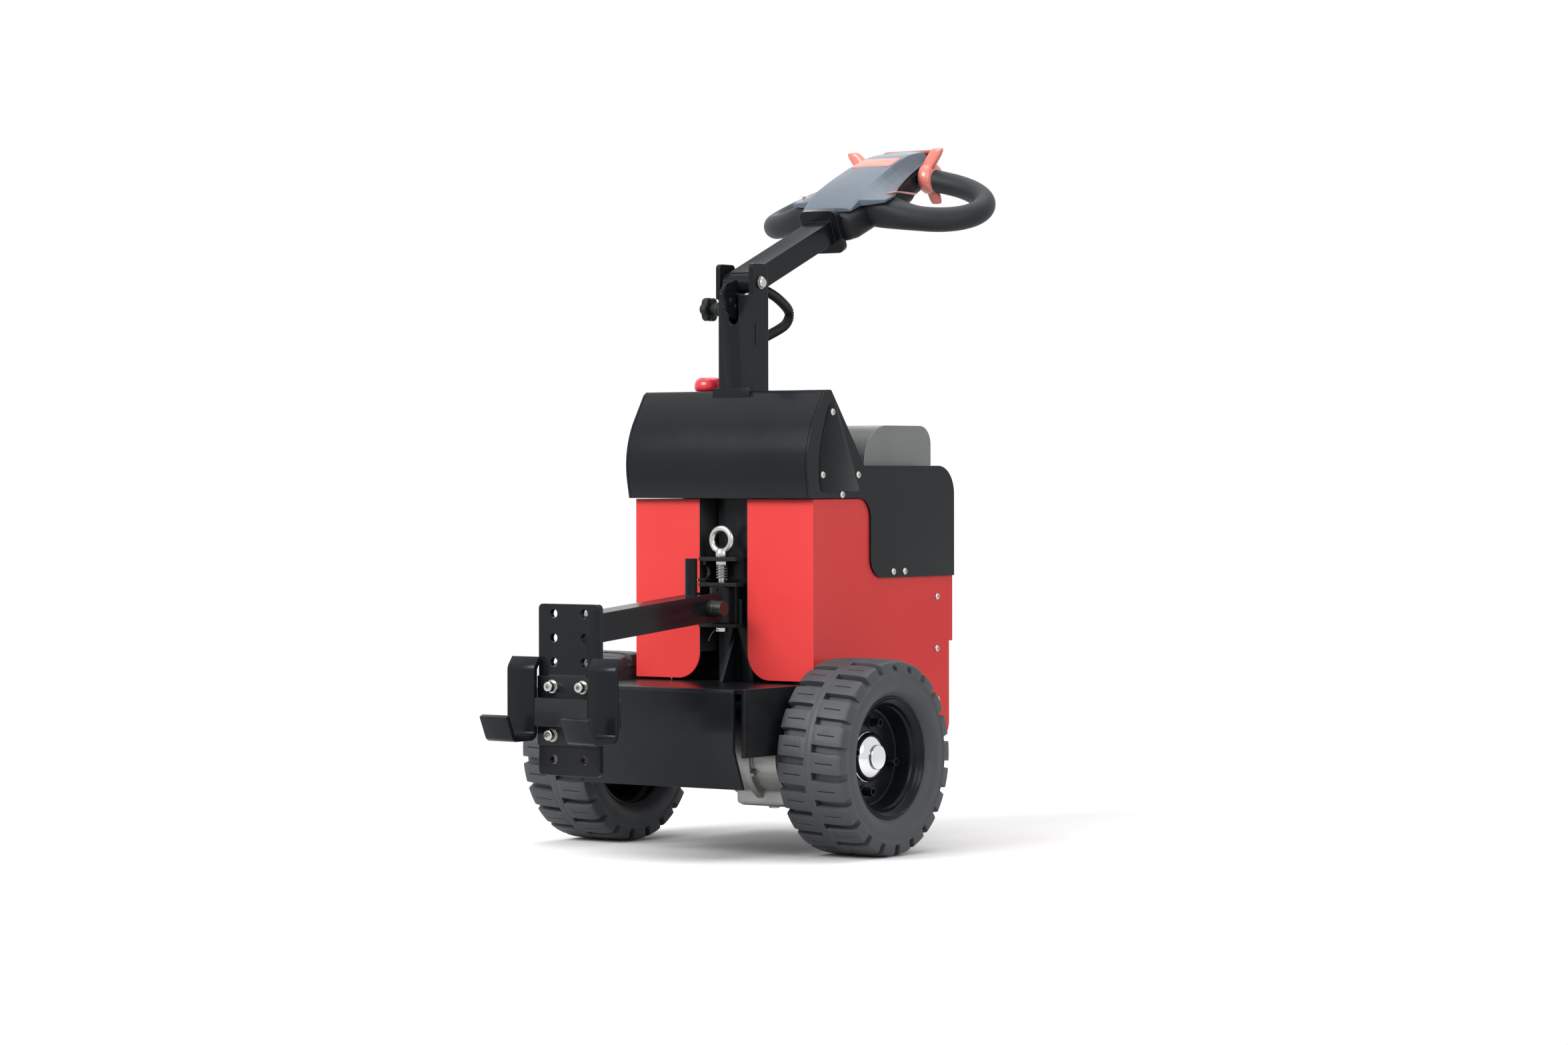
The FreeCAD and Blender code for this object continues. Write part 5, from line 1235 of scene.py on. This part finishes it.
HOUSING = [(199.9, 37, -13, 15), (202, 41, -17, 18.5), (208, 43.5, -19, 20), (216, 45.5, -20, 20.2),
           (300, 46, -20, 20.2), (352, 44.5, -18.5, 20.2), (368, 39.5, -16, 20.2),
           (410, 37.5, -13, 20.2), (417, 35.5, -11, 18), (418.5, 32, -8, 14)]
housing = built("head_housing", [[(across, along, up) for across, up in soft_box(half, low, high)]
                                 for along, half, low, high in HOUSING], finish["black_plastic"])
shade(housing.data, 35)
attach(housing, "tiller", slot_of["head_base"], "head_base")

PADDLE = [(31, 424.5, 431, 39), (30, 422.6, 432.4, 41), (26, 421.8, 432.8, 42), (12, 421.4, 430.8, 42),
          (0, 420, 427.6, 40.5), (-12, 419.2, 424.6, 37), (-15, 419.2, 423.8, 35), (-16, 420, 423, 33)]
rings = []
for up, near, far, half in PADDLE:
    rings.append([(across, along, up) for across, along in soft_box(half, near, far, 6, 40)])
paddle = built("stop_paddle", rings, finish["paddle_red"])
shade(paddle.data, 45)
attach(paddle, "tiller", slot_of["reverse_button"], "reverse_button")

# %% Thin guards from the wings into the loops
for side, sign in SIGNS.items():
    strip = [[(sign * (across + dx), along + dy, up + dz) for dx, dy, dz in
              ((-3.5, 0, 0), (-3.5, 0.3, 1.4), (3.5, 1.0, 1.4), (3.5, 0.7, 0))]
             for across, along, up in ((70, 263, 26.5), (75, 268, 25.5), (79, 280, 20.5),
                                       (81, 293, 14.5), (82, 304, 9.5))]
    guard = rounded(built("guard_" + side, strip, finish["salmon_plastic"]), 0.5, 2, 30)
    attach(guard, "tiller", "salmon_plastic")

# %% [markdown]
# ## Hooks of the coupling
#
# Each hook is one strip of 7 mm plate, bent three times on a press: back at the top, forward at
# the foot and up at the lip. The strip is drawn as its middle line with a real bend radius at each
# fold, and the plate's thickness is laid to both sides of it.

# %% Bend a strip of plate
def bend(before, corner, after, radius, steps):
    """Points of the arc that rounds one corner of a line in a plane."""
    back, ahead = (before - corner).normalized(), (after - corner).normalized()
    half = math.acos(max(-1, min(1, back.dot(ahead)))) / 2
    centre = corner + (back + ahead).normalized() * (radius / math.sin(half))
    first = corner + back * (radius / math.tan(half)) - centre
    last = corner + ahead * (radius / math.tan(half)) - centre
    sweep = math.atan2(first.x * last.y - first.y * last.x, first.dot(last))
    turns = [sweep * step / steps for step in range(steps + 1)]
    return [centre + Vector((first.x * math.cos(turn) - first.y * math.sin(turn),
                             first.x * math.sin(turn) + first.y * math.cos(turn)))
            for turn in turns]


def bent_strip(name, corners, radii, low, high, sheet, material, steps=6):
    """corners are (y, z) in mm along the strip's middle; radii has one bend for each inner corner."""
    line = [Vector(corners[0])]
    for before, corner, after, radius in zip(corners, corners[1:], corners[2:], radii):
        line += bend(Vector(before), Vector(corner), Vector(after), radius, steps)
    line.append(Vector(corners[-1]))
    rings = []
    for index, place in enumerate(line):
        ahead = (line[min(index + 1, len(line) - 1)] - line[max(index - 1, 0)]).normalized()
        aside = Vector((-ahead.y, ahead.x)) * (sheet / 2)
        rings.append([(low, *(place + aside)), (high, *(place + aside)),
                      (high, *(place - aside)), (low, *(place - aside))])
    piece = built(name, rings, material, where=LEVEL)
    return rounded(piece, 0.9, 3, 40)


HOOK_BACK, HOOK_LOW, HOOK_SHEET = -349.0, 155.0, 7.0
hook_line = HOOK_BACK - HOOK_SHEET / 2
for side, sign in SIGNS.items():
    low = sign * 64 - 21.5
    strip = bent_strip("hook_bent_" + side, [
        (hook_line + 15.6 * math.sin(math.radians(35)), 244 + 15.6 * math.cos(math.radians(35))),
        (hook_line, 244.5), (hook_line, HOOK_LOW + 3.5), (-393.9, HOOK_LOW + 3.5),
        (-393.9 - 34.0 * math.sin(math.radians(22)),
         HOOK_LOW + 3.5 + 31.2 * math.cos(math.radians(22)))],
        (11, 8.5, 6.5), low, low + 43, HOOK_SHEET, finish[slot_of["hook_" + side]])
    attach(strip, "coupling", slot_of["hook_" + side], "hook_" + side)

# %% [markdown]
# ## Castings of the drive
#
# The drive is a cast gear case with a bolted flange, a sump under it, webs towards the axle tube
# and a round motor with an end shield. A cast part could be one smooth drum, but the flange, the
# bolts and the webs are what tell the eye that it is a gear case.

# %% Flange, bolts, webs, sump and motor shield
AXLE = (0, 0, 0.125)
castings = [lathe("flange", [(61, 59), (61, 64.2), (62, 65.2), (70, 65.2), (71, 64.2), (71, 59)], 64,
                  at=AXLE)]
FLANGE_CIRCLE = 60.8 * MM
FLANGE_BOLT = [(71, 0), (71, 4.4), (74.6, 4.4), (75.2, 3.8), (75.2, 0)]
bolt_angles = [math.radians(22.5 + 45 * step) for step in range(8)]
castings.append(repeated("flange_bolt", lathe("flange_bolt", FLANGE_BOLT, 6), [
    (0, FLANGE_CIRCLE * math.cos(angle), AXLE[2] + FLANGE_CIRCLE * math.sin(angle))
    for angle in bolt_angles]))


def web_mesh(start, end, tall):
    """A three-cornered web that stands out along Y, from start to end along the axle."""
    corners = [(start, 24), (start, 24 + tall), (end, 24)]
    work = bmesh.new()
    rows = [[work.verts.new((along * MM, radius * MM, shift * MM)) for along, radius in corners]
            for shift in (-2.2, 2.2)]
    for row in rows:
        work.faces.new(row)
    for index in range(3):
        after = (index + 1) % 3
        work.faces.new((rows[0][index], rows[0][after], rows[1][after], rows[1][index]))
    bmesh.ops.recalc_face_normals(work, faces=work.faces)
    mesh = bpy.data.meshes.new("web")
    work.to_mesh(mesh)
    work.free()
    return mesh


for start, end, tall in ((108, 148, 26), (22, -6, 24)):
    castings.append(ringed("web", web_mesh(start, end, tall), 6, math.radians(30), AXLE))
castings.append(lathe("motor_shield", [(-99.6, 20), (-99.6, 50.6), (-98, 51.8), (-88, 51.8), (-87, 50.4),
                                       (-87, 20)], 64, at=(0, 0.022, 0.137)))
sump_rings = []
for along, half, low in ((26, 26, 62), (28, 30, 58.5), (34, 32, 57.2), (96, 32, 57.2), (102, 30, 58.5),
                         (104, 26, 62)):
    sump_rings.append([(along, across, up) for across, up in soft_box(half, low, 84, 6, 32)])
sump = built("sump", sump_rings, finish["cast_aluminium"], where=LEVEL)
castings.append(sump.data)
bpy.data.objects.remove(sump)
castings.append(lathe("drain_plug", [(0, 0), (0, 7), (3.2, 7), (3.6, 6.4), (3.6, 0)], 6,
                      turn=Matrix.Rotation(math.pi / 2, 3, "Y"), at=(0.065, 0, 0.0572)))
drive_castings = joined("drive_castings", castings, finish["cast_aluminium"])
shade(drive_castings.data, 30)
attach(drive_castings, "frame", slot_of["transaxle"])

# %% [markdown]
# ## Operator's side
#
# The console's face towards the operator carries a key switch and a charge gauge, and the rear
# panel is held by four screws. These are small bought parts, so each is a few turned or lofted
# shapes. No words or signs are on them.

# %% Key switch, gauge and panel screws
FACE_Y, FACE_Z = 64.0, 556.0
KEY_AT = (0.058, FACE_Y * MM, FACE_Z * MM)
TO_BACK = Matrix.Rotation(math.pi / 2, 3, "Z")
key = [lathe("key_bezel", [(-1, 0), (-1, 12), (1.6, 12), (2.6, 11), (2.8, 8.6), (1.8, 8), (1.8, 0)], 40,
             turn=TO_BACK, at=KEY_AT),
       lathe("key_barrel", [(1, 0), (1, 7), (3.6, 6.6), (4.0, 6.0), (4.0, 0)], 32,
             turn=TO_BACK, at=KEY_AT)]
key = joined("key_switch", key, finish["zinc_steel"])
shade(key.data, 35)
attach(key, "frame", "zinc_steel")
blade_rings = [[(58 + across, FACE_Y + out, FACE_Z + up) for across, up in soft_box(1.1, -5, 5, 6, 16)]
               for out in (3.6, 4.3)]
slot_piece = built("key_slot", blade_rings, finish["black_plastic"], where=LEVEL)
attach(slot_piece, "frame", "black_plastic")
GAUGE_CASE = [(-1, 29, 16), (2.0, 29, 16), (3.0, 28, 15), (3.0, 25, 12), (1.2, 24.4, 11.4)]
gauge_rings = [[(-8 + across, FACE_Y + out, FACE_Z + up)
                for across, up in soft_box(half, -tall, tall, 7, 48)]
               for out, half, tall in GAUGE_CASE]
gauge = built("charge_gauge", gauge_rings, finish["black_plastic"], where=LEVEL)
shade(gauge.data, 35)
attach(gauge, "frame", "black_plastic")
bar_rings = [[(across, out, up) for across, up in soft_box(1.4, -5.5, 5.5, 6, 16)] for out in (1.0, 1.9)]
lit = built("gauge_bar", bar_rings, finish["gauge_green"], where=LEVEL)
lit_mesh = lit.data
bpy.data.objects.remove(lit)
bars = repeated("gauge_bar", lit_mesh, [((-26.6 + 4.1 * step) * MM, FACE_Y * MM, FACE_Z * MM)
                                        for step in range(10)])
bars = joined("gauge_bars", [bars], finish["gauge_green"])
attach(bars, "frame", "black_plastic")
PAN_HEAD = [(-0.5, 0), (-0.5, 5), (1.4, 4.8), (2.4, 3.6), (2.6, 1.8), (1.2, 1.8), (1.2, 0)]
panel_screws = repeated("panel_screw", lathe("panel_screw", PAN_HEAD, 24), [
    (across * MM, 0.297, up * MM) for across in (-128, 128) for up in (276, 437)], "Y")
panel_screws = joined("rear_panel_screws", [panel_screws], finish["zinc_steel"])
shade(panel_screws.data, 35)
attach(panel_screws, "frame", "zinc_steel")

# %% Caster wheel
CASTER_HALF = [(20.8, 9), (20.8, 14), (17.5, 15.2), (16.4, 30), (18.6, 32.5), (20.6, 38), (19.6, 43.5),
               (15.5, 47.8), (9, 49.7)]
CASTER_AXLE = (0, 0.239, 0.05)
caster_outline = ([(-along, radius) for along, radius in CASTER_HALF] + [(0, 50)]
                  + list(reversed(CASTER_HALF)))
caster = add_object("caster_tyre", lathe("caster_tyre", caster_outline, 72, at=CASTER_AXLE,
                                         closed=True), finish["tyre"])
shade(caster.data, 40)
attach(caster, "caster_roller", slot_of["caster_wheel"], "caster_wheel")

# %% [markdown]
# ## Cut plates and linings
#
# The end plates of the hood, the collar plate in front of the column and the indexing sector are
# cut from flat sheet, so each is one outline with rounded corners and, where it has them, round
# holes. The recess between the front panels is lined in black.

# %% Outlines with rounded corners, and plates cut from them
def filleted(points, radii, steps=6):
    """Round each corner of a closed outline."""
    line = []
    for index, radius in enumerate(radii):
        corner = Vector(points[index])
        before, after = Vector(points[index - 1]), Vector(points[(index + 1) % len(points)])
        line += bend(before, corner, after, radius, steps) if radius else [corner]
    return line


def cut_plate(name, outline, holes, low, high, material, where, edge=0.5):
    """Outline and (middle, radius) holes in the plate's own plane, from low to high across it."""
    work = bmesh.new()
    loops = [[(place.x, place.y) for place in outline]]
    for middle, radius in holes:
        loops.append([(middle[0] + radius * math.cos(math.pi * step / 12),
                       middle[1] + radius * math.sin(math.pi * step / 12)) for step in range(24)])
    edges = []
    for loop in loops:
        corners = [work.verts.new((low, *place)) for place in loop]
        edges += [work.edges.new((corners[index - 1], corners[index])) for index in range(len(corners))]
    bmesh.ops.triangle_fill(work, edges=edges, use_beauty=True)
    bmesh.ops.dissolve_limit(work, angle_limit=0.01, verts=work.verts, edges=work.edges,
                             use_dissolve_boundaries=False)
    grown = bmesh.ops.extrude_face_region(work, geom=list(work.faces))
    moved = [item for item in grown["geom"] if isinstance(item, bmesh.types.BMVert)]
    bmesh.ops.translate(work, verts=moved, vec=(high - low, 0, 0))
    bmesh.ops.recalc_face_normals(work, faces=work.faces)
    bmesh.ops.transform(work, matrix=where, verts=work.verts)
    mesh = bpy.data.meshes.new(name)
    work.to_mesh(mesh)
    work.free()
    return rounded(add_object(name, mesh, material), edge, 2, 40)


# %% End plates of the hood
END_PLATE = filleted([(21, 578), (9.5, 572), (3.3, 558.9), (-5.4, 535.4), (-11.3, 512), (-13, 485.4),
                      (-11.9, 472), (-8, 460.3), (76.5, 459.5)], [5, 5, 0, 0, 0, 0, 0, 6, 4])
for side, sign in SIGNS.items():
    low, high = sorted((sign * 145.9, sign * 147.1))
    end = cut_plate("hood_end_plate_" + side, END_PLATE, [], low, high, finish["black_paint"], LEVEL,
                    0.35)
    attach(end, "frame", "black_paint")

# %% Collar plate in front of the column
collar_outline = filleted([(-30, 572), (30, 572), (30, 595.5), (-30, 595.5)], [1, 1, 4, 4])
TO_FRONT = LEVEL @ Matrix(((0, 1, 0, 0), (1, 0, 0, 0), (0, 0, 1, 0), (0, 0, 0, 1)))
collar = cut_plate("collar_plate", collar_outline, [], -5.0, -0.4, finish["black_paint"], TO_FRONT,
                   0.6)
backing_outline = filleted([(-25, 573), (25, 573), (25, 592), (-25, 592)], [1, 1, 2, 2])
backing = cut_plate("collar_backing", backing_outline, [], -0.6, 3.8, finish["black_paint"],
                    TO_FRONT, 0.4)
collar_mesh, backing_mesh = collar.data, backing.data
bpy.data.objects.remove(collar)
bpy.data.objects.remove(backing)
collar = joined("column_collar_plate", [collar_mesh, backing_mesh], finish["black_paint"])
shade(collar.data, 35)
attach(collar, "frame", slot_of["column_collar"], "column_collar")

# %% Indexing sector with its three holes
def around(radius, angle):
    return (radius * math.cos(math.radians(angle)), radius * math.sin(math.radians(angle)))


arc = [around(49.5, 175.5 + 73.5 * step / 24) for step in range(25)]
sector_points = [(0, -13.5), (0, 6.75), (-33, 12.15)] + arc
sector_outline = filleted(sector_points, [0, 0, 9, 5] + [0] * 23 + [4])
index_holes = [(around(33.5, 239.5 - 20.9 * step), 3.5) for step in range(3)]
sector = cut_plate("sector_plate", sector_outline, index_holes, -5.5, -0.5, finish["black_paint"],
                   ARM, 0.5)
attach(sector, "tiller", slot_of["index_sector"], "index_sector")

# %% Pin heads
NEAR_HEAD = [(30.4, 0), (30.4, 6.9), (32.0, 7.0), (33.2, 6.2), (34.0, 4.2), (34.2, 0)]
FAR_HEAD = [(-38.4, 0), (-38.2, 4.0), (-37.4, 6.0), (-36.2, 6.8), (-34.6, 6.8), (-34.6, 0)]
RING = [(28.4, 6.4), (28.4, 8.2), (29.6, 8.2), (29.6, 6.4)]
pin_heads = [lathe("pin_head", NEAR_HEAD, 40, at=TILLER_PIVOT),
             lathe("pin_head", FAR_HEAD, 40, at=TILLER_PIVOT),
             lathe("pin_ring", RING, 40, at=TILLER_PIVOT, closed=True)]
pin_heads = joined("tiller_pin_heads", pin_heads, finish["zinc_steel"])
shade(pin_heads.data, 35)
attach(pin_heads, "frame", "zinc_steel")


# %% Black lining of the recess
def lining(node, sign):
    work = bmesh.new()
    work.from_mesh(nodes[node].data)
    bmesh.ops.remove_doubles(work, verts=work.verts, dist=2e-6)
    keep = [face for face in work.faces if face.normal.x * -sign > 0.95
            and abs(face.calc_center_median().x) < 0.041 and face.calc_center_median().y < 0.06]
    bmesh.ops.delete(work, geom=[face for face in work.faces if face not in keep], context="FACES")
    bmesh.ops.dissolve_limit(work, angle_limit=0.01, verts=work.verts, edges=work.edges)
    grown = bmesh.ops.extrude_face_region(work, geom=list(work.faces))
    moved = [item for item in grown["geom"] if isinstance(item, bmesh.types.BMVert)]
    bmesh.ops.translate(work, verts=moved, vec=(-sign * 0.6 * MM, 0, 0))
    bmesh.ops.recalc_face_normals(work, faces=work.faces)
    mesh = bpy.data.meshes.new("recess_lining")
    work.to_mesh(mesh)
    work.free()
    print(node, "lining has", len(mesh.polygons), "faces")
    return mesh


for side, sign in SIGNS.items():
    mesh = lining("body_panel_" + side, sign)
    if len(mesh.polygons):
        liner = add_object("recess_lining_" + side, mesh, finish["black_paint"])
        attach(liner, "frame", "black_paint")

# %% [markdown]
# ## Folded and machined parts
#
# Sheet metal never has a knife edge: it is bent or deburred, and that small radius is what catches
# the light. The solid could be left as it is, but its edges would look drawn. So a copy of each
# solid is merged, its flat faces are joined again, and its edges get a small bevel.

# %% A finishing copy of a solid
def finished_copy(node, width, segments=2, material=None, angle=30, corners=None):
    """A merged, bevelled copy; corners holds a test for places and the radius for its edges."""
    mesh = nodes[node].data.copy()
    work = bmesh.new()
    work.from_mesh(mesh)
    bmesh.ops.remove_doubles(work, verts=work.verts, dist=2e-6)
    bmesh.ops.dissolve_limit(work, angle_limit=math.radians(0.6), verts=work.verts,
                             edges=work.edges)
    if corners:
        large = [edge for edge in work.edges if all(corners[0](vert.co) for vert in edge.verts)
                 and edge.calc_length() < 0.02]
        bmesh.ops.bevel(work, geom=large, offset=corners[1], segments=6, profile=0.5,
                        affect="EDGES")
    work.to_mesh(mesh)
    work.free()
    piece = add_object(node + "_finished", mesh, material or finish[slot_of[node]])
    shade(mesh, angle)
    if width:
        bevel = piece.modifiers.new("edge", "BEVEL")
        bevel.width = width
        bevel.segments = segments
        bevel.limit_method = "ANGLE"
        bevel.angle_limit = math.radians(angle)
        bevel.use_clamp_overlap = False
        bevel.harden_normals = True
        settle(piece)
    return attach(piece, body_of[node], slot_of[node], node)


# %% Which solids get which edge
EDGES = {
    0.0008: ["chassis_frame", "rear_cover", "hitch_bracket", "coupling_plate",
             "hook_carrier", "swing_block", "caster_plate", "caster_fork", "tow_arm"],
    0.0005: ["body_panel_left", "body_panel_right", "rear_panel", "bulkhead", "side_cover_left",
             "side_cover_right", "hood", "tiller_pin", "lift_pin"],
    0.0012: ["battery_block", "transaxle", "column", "tiller_arm", "control_console"],
}
OTHER_FINISH = {"lift_pin": finish["oiled_steel"]}


def socket_corner(place):
    """True at the four corners of the square plate at the arm's end."""
    level = ARM.inverted() @ place
    return abs(level.x) > 29.8 and abs(level.z) > 29.8


LARGE_CORNERS = {"tiller_arm": (socket_corner, 0.0095)}
faces = 0
for width, members in EDGES.items():
    for node in members:
        piece = finished_copy(node, width, 3 if width > 0.001 else 2, OTHER_FINISH.get(node),
                              corners=LARGE_CORNERS.get(node))
        faces += len(piece.data.polygons)
print(faces, "faces on the finished copies")

# %% [markdown]
# ## What is left of the solids
#
# The solids that no piece replaces yet still need their finish.

# %% Finish the solids
for node, solid in nodes.items():
    solid.data.materials.clear()
    solid.data.materials.append(finish[slot_of[node]])
